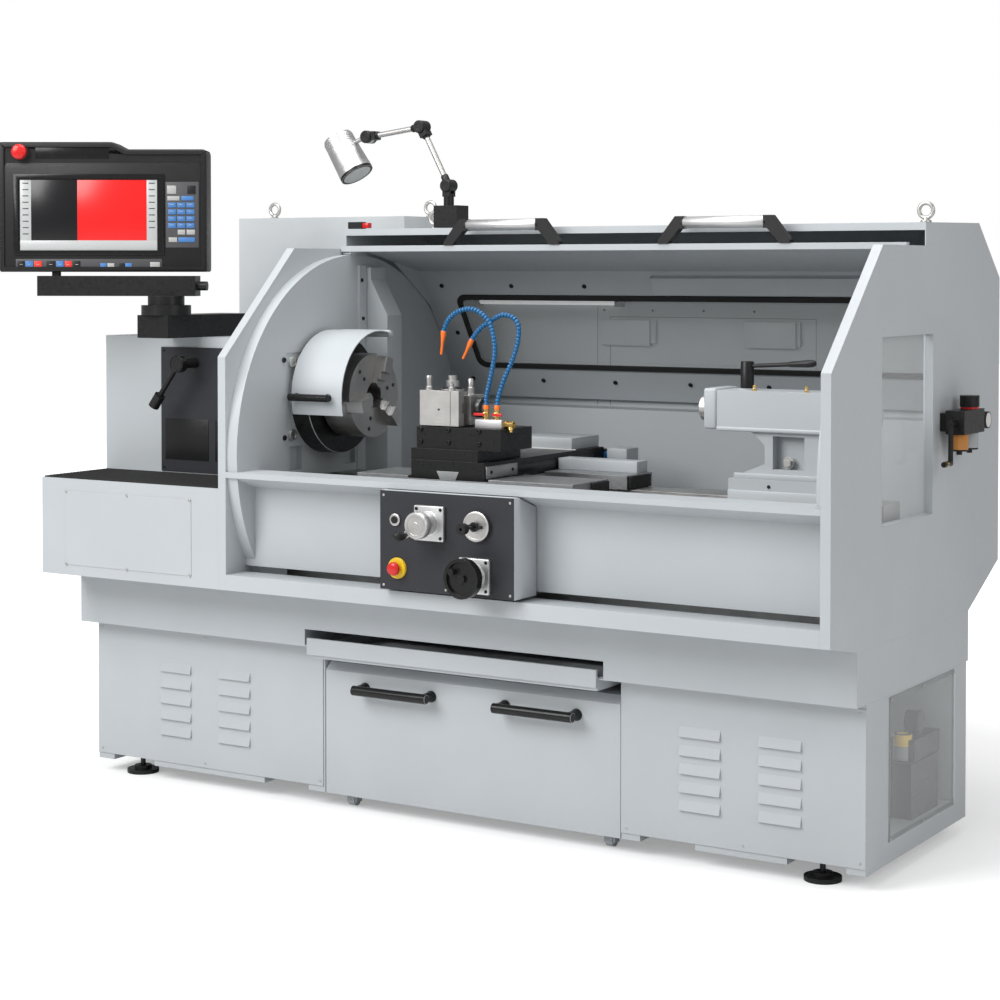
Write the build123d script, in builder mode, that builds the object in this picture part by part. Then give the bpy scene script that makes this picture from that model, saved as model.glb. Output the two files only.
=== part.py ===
from build123d import *
import math
import os

os.makedirs("parts", exist_ok=True)

# CNC turning lathe, millimetres. +X runs from headstock to tailstock, the operator stands at -Y,
# the floor is z = 0 and the middle of the machine's overall footprint is the origin.

# Frame datums
machine_left = -1275.0
machine_right = 1345.0
pan_bottom = 484.0
pan_top = 626.0
pedestal_bottom = 42.0
pedestal_front = -317.0
pedestal_rear = 414.0
sheet = 3.0
fit_gap = 0.3
running_gap = 0.05
small_sides = 12
grip_sides = 16

# Pedestals, vent covers and feet
pedestal_left_width = 891.0
pedestal_right_width = 711.0
toe_height = 18.0
toe_depth = 130.0
toe_width = 166.0
cover_sheet = 3.0
louvre_width = 122.0
louvre_height = 28.0
louvre_pitch = 49.5
louvre_rise = 8.0
louvre_rows = 5
foot_radius = 50.0
foot_pad = 12.0
collar_radius = 27.5
stud_radius = 8.0

# Chip pan, chip tray and coolant tank
pan_front = -380.0
pan_rear = 429.0
notch_left = -394.0
notch_right = 612.0
notch_top = 535.0
tray_ledge = 14.0
tray_floor = 4.0
tank_clearance = 3.0
tank_top = 431.0
handle_span = 232.0
handle_bar = 13.5
handle_standoff = 45.0
castor_radius = 18.0

# Bed and ways
way_top = 967.0
bed_left = -580.0
bed_right = 1285.0
rear_way = (-57.0, 56.0)
front_way = (-271.0, -190.0)
bed_wall = 26.0

# Spindle line
spindle_y = -107.0
spindle_z = 1213.0
spindle_bore = 26.0
spindle_radius = 52.0
chuck_radius = 127.0
chuck_depth = 104.0
chuck_face = -336.0
backplate_radius = 105.0
jaw_width = 36.0

# Enclosure
front_y = -550.0
cheek_sheet = 28.0
cheek_left = -580.0
knee_z = 1339.0
slant_top_y = -218.0
cheek_top = 1658.0
cheek_rear = 162.0
wall_disc_x = -515.0
rail_low = 658.0
rail_low_top = 704.0
rail_top = 1004.0
recess_y = -460.0
hood_axis_y = 48.0
hood_axis_z = 1047.0
disc_radius = 592.0
rear_top = 1721.0
rear_back = 678.0
cabinet_top = rear_top + 48

# Carriage
slide_middle = 107.5
slide_width = 247.0
slide_front = -377.0
slide_length = 680.0
slide_bottom = 1000.0
slide_top = 1053.0
saddle_left = -205.0
saddle_right = 515.0

panel_left = 18.0
panel_right = 451.0
panel_low = 712.0
panel_top = 985.0
panel_y = -580.0

# Tailstock
tail_left = 890.0
tail_length = 345.0
quill_radius = 35.0
quill_travel = 120.0
barrel_left = 814.0

# Hood
hood_left = -513.0
hood_right = 1303.0
hood_sheet = 3.0

# Pendant
pendant_pivot = (-940.0, -357.0)
pendant_arm_length = 500.0
pendant_hub = 348.0
pendant_turn = 24.8
pendant_facing = 31.9
pendant_width = 640.0
pendant_height = 405.0

left_pedestal_x = (machine_left + 18, machine_left + 18 + pedestal_left_width)
right_pedestal_x = (machine_right - pedestal_right_width, machine_right)


def between(x, y, z, mode=Mode.ADD):
    """A rectangular block between pairs of x, y and z, added to the part being built."""
    with BuildSketch(Plane.XY.offset(z[0])) as base:
        with Locations(((x[0] + x[1]) / 2, (y[0] + y[1]) / 2)):
            Rectangle(x[1] - x[0], y[1] - y[0])
    extrude(base.sketch, amount=z[1] - z[0], mode=mode)


def side_profile(points, x, mode=Mode.ADD):
    """A polygon of (y, z) points carried from x[0] to x[1]."""
    with BuildSketch(Plane.YZ.offset(x[0])) as face:
        with BuildLine():
            Polyline(*points, close=True)
        make_face()
    extrude(face.sketch, amount=x[1] - x[0], mode=mode)


def mitred(points, distance):
    """The same (y, z) path moved sideways, to the left of its run when the distance is positive."""
    normals = []
    for start, end in zip(points, points[1:]):
        run = math.dist(start, end)
        normals.append((-(end[1] - start[1]) / run, (end[0] - start[0]) / run))
    moved = []
    for index, point in enumerate(points):
        before = normals[max(index - 1, 0)]
        after = normals[min(index, len(normals) - 1)]
        spread = distance / (1 + before[0] * after[0] + before[1] * after[1])
        moved.append((point[0] + (before[0] + after[0]) * spread, point[1] + (before[1] + after[1]) * spread))
    return moved


def folded_sheet(points, thickness, x, mode=Mode.ADD):
    """A sheet folded along (y, z) points with its thickness on one side, carried from x[0] to x[1]."""
    side_profile(points + mitred(points, thickness)[::-1], x, mode)


def slab(points, low, high, x, mode=Mode.ADD):
    """A plate along (y, z) points, between two distances from their line, from x[0] to x[1]."""
    side_profile(mitred(points, low) + mitred(points, high)[::-1], x, mode)


def round_face(radius, sides):
    """A circle, or a many-sided outline for a small round piece that repeats."""
    if sides:
        RegularPolygon(radius, sides)
    else:
        Circle(radius)


def disc_x(centre, radius, x, mode=Mode.ADD, sides=0):
    """A round bar along X about a (y, z) centre."""
    with BuildSketch(Plane.YZ.offset(x[0])) as face:
        with Locations(centre):
            round_face(radius, sides)
    extrude(face.sketch, amount=x[1] - x[0], mode=mode)


def disc_z(centre, radius, z, mode=Mode.ADD, sides=0):
    """An upright round bar about an (x, y) centre."""
    with BuildSketch(Plane.XY.offset(z[0])) as face:
        with Locations(centre):
            round_face(radius, sides)
    extrude(face.sketch, amount=z[1] - z[0], mode=mode)


def disc_y(centre, radius, y, mode=Mode.ADD, sides=0):
    """A round bar along Y about an (x, z) centre, from y[0] back to y[1]."""
    plane = Plane(origin=(centre[0], y[0], centre[1]), x_dir=(1, 0, 0), z_dir=(0, 1, 0))
    with BuildSketch(plane) as face:
        round_face(radius, sides)
    extrude(face.sketch, amount=y[1] - y[0], mode=mode)


def bar(start, end, radius, mode=Mode.ADD, sides=0):
    """A round bar from one point to another."""
    run = Vector(*end) - Vector(*start)
    with BuildSketch(Plane(origin=start, z_dir=run)) as face:
        round_face(radius, sides)
    extrude(face.sketch, amount=run.length, mode=mode)


def keep(piece, name):
    """Label a finished piece and write it to its own file."""
    piece.part.label = name
    export_step(piece.part, f"parts/{name}.step")


# Pedestals: welded sheet boxes with toe openings over the levelling feet
toe_left_x = (machine_left + 163, machine_left + 764)
toe_right_x = (machine_right - 570, machine_right - 136.5)


def toe_openings(centres):
    """Openings under the base, at the front and at the back, over each levelling foot."""
    for centre in centres:
        across = (centre - toe_width / 2, centre + toe_width / 2)
        low = (pedestal_bottom, pedestal_bottom + toe_height)
        between(across, (pedestal_front, pedestal_front + toe_depth), low, Mode.SUBTRACT)
        between(across, (pedestal_rear - toe_depth, pedestal_rear), low, Mode.SUBTRACT)


with BuildPart() as left_pedestal:
    between(left_pedestal_x, (pedestal_front, pedestal_rear), (pedestal_bottom, pan_bottom))
    toe_openings(toe_left_x)
keep(left_pedestal, "left_pedestal")

# The right pedestal holds the lubricator behind a window in its end
bay_y = (-152.0, 301.0)
bay_z = (110.0, 464.0)
bay_depth = 260.0
with BuildPart() as right_pedestal:
    between(right_pedestal_x, (pedestal_front, pedestal_rear), (pedestal_bottom, pan_bottom))
    toe_openings(toe_right_x)
    between((machine_right - bay_depth, machine_right), bay_y, bay_z, Mode.SUBTRACT)
keep(right_pedestal, "right_pedestal")

# Screwed front covers with two columns of pressed louvres each
cover_z = (pedestal_bottom + toe_height, pan_bottom - 12)
louvre_low = pedestal_bottom + 104


def vent_cover(cover_x, columns):
    """A flat cover with hooded louvres, open underneath."""
    front = pedestal_front - cover_sheet
    between(cover_x, (front, pedestal_front), cover_z)
    for column in columns:
        for row in range(louvre_rows):
            low = louvre_low + row * louvre_pitch
            hood = [(front, low), (front - louvre_rise, low), (front, low + louvre_height)]
            reach = (column - louvre_width / 2, column + louvre_width / 2)
            side_profile(hood, reach)
            slot = [(pedestal_front, low + 2), (front - louvre_rise + 3, low - 1),
                    (front - louvre_rise + 3, low + 4), (pedestal_front, low + louvre_height - 8)]
            side_profile(slot, (reach[0] + 4, reach[1] - 4), Mode.SUBTRACT)


with BuildPart() as vent_covers:
    vent_cover((left_pedestal_x[0], left_pedestal_x[1] - 6), (-937.5, -707.0))
    vent_cover(right_pedestal_x, (873.0, 1106.0))
keep(vent_covers, "vent_covers")

foot_y = (pedestal_front + 60, pedestal_rear - 60)
with BuildPart() as levelling_feet:
    for foot_x in (toe_left_x[0] - 16, toe_right_x[1] - 8):
        for y in foot_y:
            disc_z((foot_x, y), foot_radius, (0, foot_pad))
            disc_z((foot_x, y), collar_radius, (foot_pad, foot_pad + 10), sides=small_sides)
            disc_z((foot_x, y), stud_radius, (foot_pad, pedestal_bottom + toe_height), sides=small_sides)
keep(levelling_feet, "levelling_feet")

# Chip pan: a deep welded pan with a channel for the chip tray and a chute above it
tray_channel_z = (pan_bottom + tray_floor, notch_top)
chute_x = (-300.0, 520.0)
chute_y = (-180.0, -70.0)
with BuildPart() as chip_pan:
    between((machine_left, machine_right), (pan_front, pan_rear), (pan_bottom, pan_top))
    between((notch_left, notch_right), (pan_front, pan_rear - 40), tray_channel_z, Mode.SUBTRACT)
    between((notch_left + tray_ledge, notch_right - tray_ledge), (pan_front, pan_rear - 40),
            (pan_bottom, tray_channel_z[0]), Mode.SUBTRACT)
    between(chute_x, chute_y, (notch_top, pan_top), Mode.SUBTRACT)
keep(chip_pan, "chip_pan")

# Chip tray: a tub that slides in the channel on its two flanges
tray_x = (left_pedestal_x[1] + tank_clearance, notch_right - tray_ledge - 2)
tray_rear = pan_rear - 60
tray_rim = tray_channel_z[0] + fit_gap
with BuildPart() as chip_tray:
    between(tray_x, (pan_front - sheet - fit_gap, tray_rear), (tank_top + 22, tray_rim + sheet))
    between((notch_left + 2, notch_right - 2), (pan_front + 5, tray_rear), (tray_rim, tray_rim + sheet))
    between((tray_x[0] + sheet, tray_x[1] - sheet), (pan_front + 5, tray_rear - sheet),
            (tank_top + 22 + sheet, tray_rim + 2 * sheet), Mode.SUBTRACT)
    lip_x = (notch_left + tray_ledge + 2, tray_x[1])
    between(lip_x, (pan_front - 12, pan_front - sheet), (tank_top + 32, tank_top + 81))
keep(chip_tray, "chip_tray")

# Coolant tank: a box with a bevelled top edge, on castors, with two bridge handles
tank_x = (left_pedestal_x[1] + tank_clearance, right_pedestal_x[0] - tank_clearance)
tank_y = (pedestal_front, pedestal_rear - 14)
tank_bevel = 22.0
tank_handle_z = tank_top - 64
castor_inset = 60.0
axle_radius = 5.0
with BuildPart() as coolant_tank:
    tank_shape = [(tank_y[0], pedestal_bottom), (tank_y[1], pedestal_bottom), (tank_y[1], tank_top),
                  (tank_y[0] + tank_bevel, tank_top), (tank_y[0], tank_top - tank_bevel)]
    side_profile(tank_shape, tank_x)
    for middle in (-104.0, 377.5):
        grip_y = tank_y[0] - handle_standoff
        ends = (middle - handle_span / 2, middle + handle_span / 2)
        for end in ends:
            leg = (end, tank_y[0], tank_handle_z)
            bar(leg, (end, grip_y, tank_handle_z), handle_bar, sides=grip_sides)
        reach = (ends[0] - handle_bar, ends[1] + handle_bar)
        disc_x((grip_y, tank_handle_z), handle_bar, reach, sides=grip_sides)
    for x in (tank_x[0] + castor_inset, tank_x[1] - castor_inset):
        for y in (tank_y[0] + castor_inset, tank_y[1] - castor_inset):
            disc_x((y, castor_radius), castor_radius, (x - 11, x + 11), sides=small_sides)
            between((x - 17, x - 12), (y - 14, y + 14), (castor_radius - 6, pedestal_bottom))
            between((x + 12, x + 17), (y - 14, y + 14), (castor_radius - 6, pedestal_bottom))
            disc_x((y, castor_radius), axle_radius, (x - 17, x + 17), sides=small_sides)
keep(coolant_tank, "coolant_tank")

# Bed: two walls under the ways, joined by ribs, on end feet
bed_floor = pan_top
vee_rise = 12.0
with BuildPart() as lathe_bed:
    rail_depth = 52.0
    vee = [(front_way[0], way_top - rail_depth), (front_way[0], way_top - vee_rise),
           (front_way[0] + 12, way_top - vee_rise), (front_way[0] + 26, way_top),
           (front_way[1], way_top), (front_way[1], way_top - rail_depth)]
    side_profile(vee, (bed_left, bed_right))
    between((bed_left, bed_right), rear_way, (way_top - rail_depth, way_top))
    front_wall = (front_way[0] + 16, front_way[0] + 16 + bed_wall)
    rear_wall = (rear_way[1] - 16 - bed_wall, rear_way[1] - 16)
    for wall in (front_wall, rear_wall):
        between((bed_left, bed_right), wall, (bed_floor, way_top - rail_depth))
    rib_pitch = 230.0
    rib_x = bed_left
    while rib_x < bed_right:
        between((rib_x, rib_x + 22), (front_wall[0], rear_wall[1]), (bed_floor, way_top - rail_depth))
        rib_x += rib_pitch
    for foot_x in ((bed_left, bed_left + 160), (bed_right - 160, bed_right)):
        between(foot_x, (front_way[0], rear_way[1]), (bed_floor, bed_floor + 40))
keep(lathe_bed, "lathe_bed")

# Headstock casting on its own foot, with a face plate, a nose drum, sight glasses and two pockets
face_plate_x = (cheek_left, wall_disc_x - 2)
head_x = (-1040.0, face_plate_x[1])
head_y = (-306.0, 55.0)
casting_y = (-250.0, head_y[1])
head_top = 1343.0
drum_radius = 180.0
drum_x = (head_x[1], wall_disc_x + 63)
with BuildPart() as headstock:
    between((head_x[0], face_plate_x[0]), casting_y, (pan_top, head_top))
    between(face_plate_x, head_y, (way_top, head_top))
    disc_x((spindle_y, spindle_z), drum_radius, drum_x)
    disc_x((spindle_y, spindle_z), spindle_radius + running_gap, (head_x[0], drum_x[1]), Mode.SUBTRACT)
    for pocket in ((-289.0, -229.0), (-10.0, 46.0)):
        between((head_x[1] - 20, head_x[1]), pocket, (989.0, 1061.0), Mode.SUBTRACT)
    for glass_z in (1316.0, 1097.0):
        disc_x((-284.0, glass_z), 15, (head_x[1], head_x[1] + 8), sides=grip_sides)
keep(headstock, "headstock")

# Headstock cover: a low box with a tray top for tools and a tall box over the casting
cover_x = (machine_left - 1, cheek_left)
low_box_top = 954.0
tall_box_front = -258.0
tall_box_top = head_top + 41
cabinet_front = 413.0
cover_shape = [(front_y, rail_low), (front_y, low_box_top), (tall_box_front, low_box_top),
               (tall_box_front, tall_box_top), (cabinet_front, tall_box_top), (cabinet_front, pan_top),
               (pan_front, pan_top)]
with BuildPart() as headstock_cover:
    side_profile(cover_shape, cover_x)
    inner = [(front_y + sheet, rail_low + sheet), (front_y + sheet, low_box_top - sheet),
             (tall_box_front + sheet, low_box_top - sheet), (tall_box_front + sheet, tall_box_top - sheet),
             (cabinet_front - sheet, tall_box_top - sheet), (cabinet_front - sheet, pan_top),
             (pan_front, pan_top)]
    side_profile(inner, (cover_x[0] + sheet, cover_x[1]), Mode.SUBTRACT)
    between((-1180.0, -682.0), (front_y - 1.5, front_y), (690.0, 917.0))
keep(headstock_cover, "headstock_cover")

panel_sheet = 4.0
with BuildPart() as range_panel:
    between((-1043.0, cheek_left - 4), (tall_box_front - panel_sheet, tall_box_front), (962.0, 1351.0))
keep(range_panel, "range_panel")

with BuildPart() as rubber_mat:
    mat_y = (front_y + 5, tall_box_front - panel_sheet - 2)
    between((cover_x[0] + 6, cover_x[1] - 6), mat_y, (low_box_top, low_box_top + 4))
    rib_y = mat_y[0] + 12
    while rib_y < mat_y[1] - 12:
        between((cover_x[0] + 16, cover_x[1] - 16), (rib_y, rib_y + 5), (low_box_top + 4, low_box_top + 6))
        rib_y += 15
keep(rubber_mat, "rubber_mat")

# Spindle with its nose flange, and the three-jaw chuck
chuck_back = chuck_face - chuck_depth
flange_x = (drum_x[1] + fit_gap, chuck_back)
spindle_axis = (spindle_y, spindle_z)
with BuildPart() as spindle_shaft:
    disc_x(spindle_axis, spindle_radius, (cover_x[0] + 60, flange_x[0]))
    disc_x(spindle_axis, backplate_radius, flange_x)
    disc_x(spindle_axis, 70, (head_x[0] - 60, head_x[0] - 20))
    disc_x(spindle_axis, spindle_bore, (cover_x[0] + 60, flange_x[1]), Mode.SUBTRACT)
keep(spindle_shaft, "spindle_shaft")

jaw_slot = 20.0
jaw_angles = (75.0, 195.0, 315.0)


def radial_plane(angle, x):
    """A plane on the chuck's axis whose X direction points outwards at an angle from +Y."""
    turn = math.radians(angle)
    outward = (0, math.cos(turn), math.sin(turn))
    return Plane(origin=(x, spindle_y, spindle_z), x_dir=outward, z_dir=(1, 0, 0))


with BuildPart() as chuck_body:
    disc_x(spindle_axis, chuck_radius, (chuck_back, chuck_face))
    disc_x(spindle_axis, 38, (chuck_back, chuck_face), Mode.SUBTRACT)
    for angle in jaw_angles:
        with BuildSketch(radial_plane(angle, chuck_face - jaw_slot)) as slot:
            with Locations((chuck_radius / 2 + 2, 0)):
                Rectangle(chuck_radius + 4, jaw_width + 2 * fit_gap)
        extrude(slot.sketch, amount=jaw_slot, mode=Mode.SUBTRACT)
        turn = math.radians(angle + 60)
        key = (spindle_y + chuck_radius * math.cos(turn), spindle_z + chuck_radius * math.sin(turn))
        middle = (chuck_back + chuck_face) / 2
        outward = (0, math.cos(turn), math.sin(turn))
        with BuildSketch(Plane(origin=(middle, key[0], key[1]), z_dir=outward)) as hole:
            Rectangle(14, 14)
        extrude(hole.sketch, amount=-22, mode=Mode.SUBTRACT)
keep(chuck_body, "chuck_body")

# Jaws: pointed at 120 degrees, stepped for inside and outside work
jaw_inner = 24.0
jaw_outer = 118.0
jaw_steps = ((jaw_inner, 0.0, 14.0), (46.0, 14.0, 26.0), (70.0, 26.0, 38.0))


def chuck_jaw(angle):
    """One jaw, its base in the slot and its steps rising towards the rim."""
    with BuildPart() as jaw:
        base = chuck_face - jaw_slot + fit_gap
        with BuildSketch(radial_plane(angle, base)) as foot:
            with BuildLine():
                point = jaw_width / 2 / math.tan(math.radians(60))
                Polyline((jaw_inner, 0), (jaw_inner + point, jaw_width / 2), (jaw_outer, jaw_width / 2),
                         (jaw_outer, -jaw_width / 2), (jaw_inner + point, -jaw_width / 2), close=True)
            make_face()
        extrude(foot.sketch, amount=jaw_slot - fit_gap + jaw_steps[0][2])
        for start, low, high in jaw_steps[1:]:
            with BuildSketch(radial_plane(angle, chuck_face + low)) as step:
                with Locations(((start + jaw_outer) / 2, 0)):
                    Rectangle(jaw_outer - start, jaw_width)
            extrude(step.sketch, amount=high - low)
    return jaw


for number, angle in enumerate(jaw_angles, start=1):
    keep(chuck_jaw(angle), f"chuck_jaw_{number}")

# Chuck guard: a rolled sheet hung on a rod above the chuck
guard_radius = 195.0
guard_x = (wall_disc_x + 15, wall_disc_x + 200)
guard_front_angle = 195.6
guard_rear_angle = 72.0
rod_radius = 7.0
knuckle_wall = 4.0
rod_turn = math.radians(guard_rear_angle)
rod_centre = (spindle_y + guard_radius * math.cos(rod_turn), spindle_z + guard_radius * math.sin(rod_turn))
with BuildPart() as chuck_guard:
    spread = guard_front_angle - guard_rear_angle
    with BuildSketch(radial_plane(guard_rear_angle, guard_x[0])) as section:
        with BuildLine():
            outer = CenterArc((0, 0), guard_radius + 1.5, 2, spread - 2)
            inside = CenterArc((0, 0), guard_radius - 1.5, 2, spread - 2)
            Line(outer @ 0, inside @ 0)
            Line(outer @ 1, inside @ 1)
        make_face()
    extrude(section.sketch, amount=guard_x[1] - guard_x[0])
    disc_x(rod_centre, rod_radius + knuckle_wall, guard_x)
    disc_x(rod_centre, rod_radius + running_gap, guard_x, Mode.SUBTRACT)
    grip_y = spindle_y - guard_radius - 24
    for end in (guard_x[0] + 22, guard_x[1] - 48):
        bar((end, spindle_y - guard_radius, spindle_z), (end, grip_y, spindle_z), 9, sides=small_sides)
    disc_x((grip_y, spindle_z), 10, (guard_x[0] + 10, guard_x[1] - 36), sides=small_sides)
keep(chuck_guard, "chuck_guard")

# Enclosure cheeks. The left one carries a thick disc wall whose rim guides the hood rollers
cheek_shape = [(front_y, rail_low), (front_y, knee_z), (slant_top_y, cheek_top), (cheek_rear, cheek_top),
               (cheek_rear, pan_top), (pan_front, pan_top)]
cheek_left_x = (cheek_left, cheek_left + cheek_sheet)
cheek_right_x = (machine_right - cheek_sheet, machine_right)
hood_axis = (hood_axis_y, hood_axis_z)
column_y = (99.0, 178.0)
with BuildPart() as left_cheek:
    side_profile(cheek_shape, cheek_left_x)
    disc_x(hood_axis, disc_radius, (cheek_left_x[1], wall_disc_x))
    between((cheek_left_x[0], wall_disc_x), (-900, 900), (pan_top - 400, pan_top), Mode.SUBTRACT)
    floor_gap = sheet + 1
    clear = [(pan_rear - 51, pan_top - 1), (pan_rear - 51, pan_top + floor_gap),
             (pan_rear, pan_top + floor_gap),
             (rear_back, 744.0 + floor_gap), (rear_back, pan_top - 1)]
    side_profile(clear, (cheek_left_x[1], wall_disc_x), Mode.SUBTRACT)
    hole_y = (head_y[0] - fit_gap, rear_way[1] + fit_gap)
    between((cheek_left_x[0], wall_disc_x), hole_y, (pan_top, head_top + fit_gap), Mode.SUBTRACT)
    disc_x(spindle_axis, drum_radius + 1, (head_x[1], wall_disc_x), Mode.SUBTRACT)
    between((wall_disc_x, wall_disc_x + 8), (58.0, 96.0), (1395.0, 1607.0))
    between((wall_disc_x, wall_disc_x + 22), column_y, (1560.0, 1600.0))
    with BuildSketch(Plane.XZ.offset(-column_y[0])) as column:
        with BuildLine():
            Polyline((wall_disc_x, 1562), (wall_disc_x + 22, 1562), (wall_disc_x + 85, 1450),
                     (wall_disc_x + 85, pan_top), (wall_disc_x, pan_top), close=True)
        make_face()
    extrude(column.sketch, amount=-(column_y[1] - column_y[0]))
    disc_x(rod_centre, rod_radius, (wall_disc_x - 20, guard_x[1] + 3))
keep(left_cheek, "left_cheek")

window_y = (-222.0, 143.0)
window_z = (929.0, 1419.0)
with BuildPart() as right_cheek:
    side_profile(cheek_shape, cheek_right_x)
    between(cheek_right_x, window_y, window_z, Mode.SUBTRACT)
    ring_x = (cheek_right_x[0] - 13, cheek_right_x[0])
    with BuildSketch(Plane.YZ.offset(ring_x[0])) as ring:
        with Locations(hood_axis):
            Circle(disc_radius)
            Circle(disc_radius - 16, mode=Mode.SUBTRACT)
        with Locations((hood_axis_y, rail_top + 6 - disc_radius)):
            Rectangle(4 * disc_radius, 2 * disc_radius, mode=Mode.SUBTRACT)
    extrude(ring.sketch, amount=ring_x[1] - ring_x[0])
keep(right_cheek, "right_cheek")

# Clear panes: the end window in the right cheek and the framed window over the lubricator
pane = 4.0
with BuildPart() as side_windows:
    pane_x = (cheek_right_x[0] + 4, cheek_right_x[0] + 4 + pane)
    between(pane_x, window_y, window_z)
    frame_x = (machine_right, machine_right + 4)
    between(frame_x, (bay_y[0] - 14, bay_y[1] + 14), (bay_z[0] - 14, bay_z[1] + 14))
    inner_y = (bay_y[0] + 12, bay_y[1] - 12)
    inner_z = (bay_z[0] + 12, bay_z[1] - 12)
    between(frame_x, inner_y, inner_z, Mode.SUBTRACT)
    between((frame_x[0], frame_x[0] + 3), inner_y, inner_z)
keep(side_windows, "side_windows")

# Front panel: folded lower rail, carriage slot, recess panel and upper rail
panel_x = (cheek_left_x[1], cheek_right_x[0])
slot_top = 722.0
with BuildPart() as front_panel:
    lower = [(pan_front + 40, pan_top), (pan_front, pan_top), (front_y, rail_low), (front_y, rail_low_top),
             (recess_y, rail_low_top)]
    folded_sheet(lower, -sheet, panel_x)
    upper = [(recess_y, slot_top), (recess_y, 954.0), (front_y, rail_top - 17), (front_y, rail_top),
             (recess_y + 20, rail_top)]
    folded_sheet(upper, -sheet, panel_x)
    disc_x(hood_axis, disc_radius + fit_gap, (panel_x[0], wall_disc_x), Mode.SUBTRACT)
keep(front_panel, "front_panel")

# Rear enclosure: roof and back in one folded sheet, two end plates, wall boxes and a splash panel
rear_x = (cheek_left, machine_right)
rear_path = [(84.0, 1700.0), (84.0, rear_top), (501.0, 1726.0), (rear_back, 1570.0), (rear_back, 744.0),
             (pan_rear, pan_top), (pan_rear - 50, pan_top)]
splash_y = 560.0
splash_top = 1150.0
inside_x = (wall_disc_x + 4, 1301.0)
with BuildPart() as rear_enclosure:
    folded_sheet(rear_path, -sheet, rear_x)
    plate = [(cheek_rear, pan_top), (cheek_rear, cheek_top), (84.0, cheek_top)] + rear_path[1:5]
    plate = plate + [(pan_rear, pan_top)]
    side_profile(plate, (machine_right - sheet, machine_right))
    side_profile(plate, (cheek_left, cheek_left + sheet))
    splash = [(splash_y, pan_top), (splash_y, splash_top), (rear_back - sheet, splash_top)]
    folded_sheet(splash, -sheet, inside_x)
    wall_y = (rear_back - sheet - 12, rear_back - sheet)
    for box_x in ((45.0, 218.0), (545.0, 719.0)):
        between(box_x, wall_y, (1357.0, 1431.0))
keep(rear_enclosure, "rear_enclosure")

with BuildPart() as electrical_cabinet:
    between((machine_left + 4, cheek_left - fit_gap), (cabinet_front, rear_back), (pan_top, cabinet_top))
keep(electrical_cabinet, "electrical_cabinet")


eye_outer = 26.0
eye_inner = 14.0
eye_depth = 12.0


def eyebolt(centre, base_z):
    """A shank with a collar and a round lifting ring facing along Y."""
    x, y = centre
    ring_z = base_z + eye_outer + 6
    disc_z((x, y), 16, (base_z, base_z + 6), sides=small_sides)
    disc_z((x, y), 7, (base_z + 6, ring_z - eye_inner - 2), sides=small_sides)
    depth = (y - eye_depth / 2, y + eye_depth / 2)
    disc_y((x, ring_z), eye_outer, depth, sides=grip_sides)
    disc_y((x, ring_z), eye_inner, depth, Mode.SUBTRACT, sides=grip_sides)


with BuildPart() as lifting_eyebolts:
    eyebolt((machine_left + 55, rear_back - 130), cabinet_top)
    eyebolt((cheek_left - 40, rear_back - 51), cabinet_top)
    eyebolt((-372.0, 283.0), rear_top + 3.5)
    eyebolt((machine_right - 20, 136.0), rear_top + 1)
keep(lifting_eyebolts, "lifting_eyebolts")

with BuildPart() as work_light:
    light_x = (-444.0, 92.0)
    light_y = rear_back - sheet - 20
    light_z = 1491.0
    disc_x((light_y, light_z), 13, light_x, sides=grip_sides)
    for end in light_x:
        between((end - 8, end + 8), (light_y - 15, rear_back - sheet), (light_z - 16, light_z + 16))
keep(work_light, "work_light")

switch_x = (cheek_left + 7, cheek_left + 60)
switch_y = (88.0, 112.0)
switch_top = rear_top + 22
key_length = 22.0
with BuildPart() as interlock_switch:
    between(switch_x, switch_y, (rear_top + 0.5, switch_top))
    key_y = (switch_y[0] + 3, switch_y[1] - 3)
    between((switch_x[1], switch_x[1] + key_length), key_y, (rear_top + 3, switch_top - 4))
keep(interlock_switch, "interlock_switch")

# Lubricator in the right pedestal: reservoir, block, gauge and filler
gauge_at = (160.0, 354.0)
tank_depth = (machine_right - 105, machine_right - 15)
block_depth = (machine_right - 95, machine_right - 20)
gauge_depth = (machine_right - 75, machine_right - 35)
with BuildPart() as lubricator:
    between(tank_depth, (33.0, 235.0), (bay_z[0], 260.0))
    between(block_depth, (67.0, 258.0), (260.0, 318.0))
    disc_z((machine_right - 58, 80.0), 24, (260.0, 334.0))
    disc_x(gauge_at, 29, gauge_depth)
    disc_x(gauge_at, 32, (gauge_depth[1] - 7, gauge_depth[1] - 2))
    stem_x = (gauge_depth[0] + 10, gauge_depth[1] - 12)
    between(stem_x, (gauge_at[0] - 10, gauge_at[0] + 10), (318.0, 335.0))
keep(lubricator, "lubricator")

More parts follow.
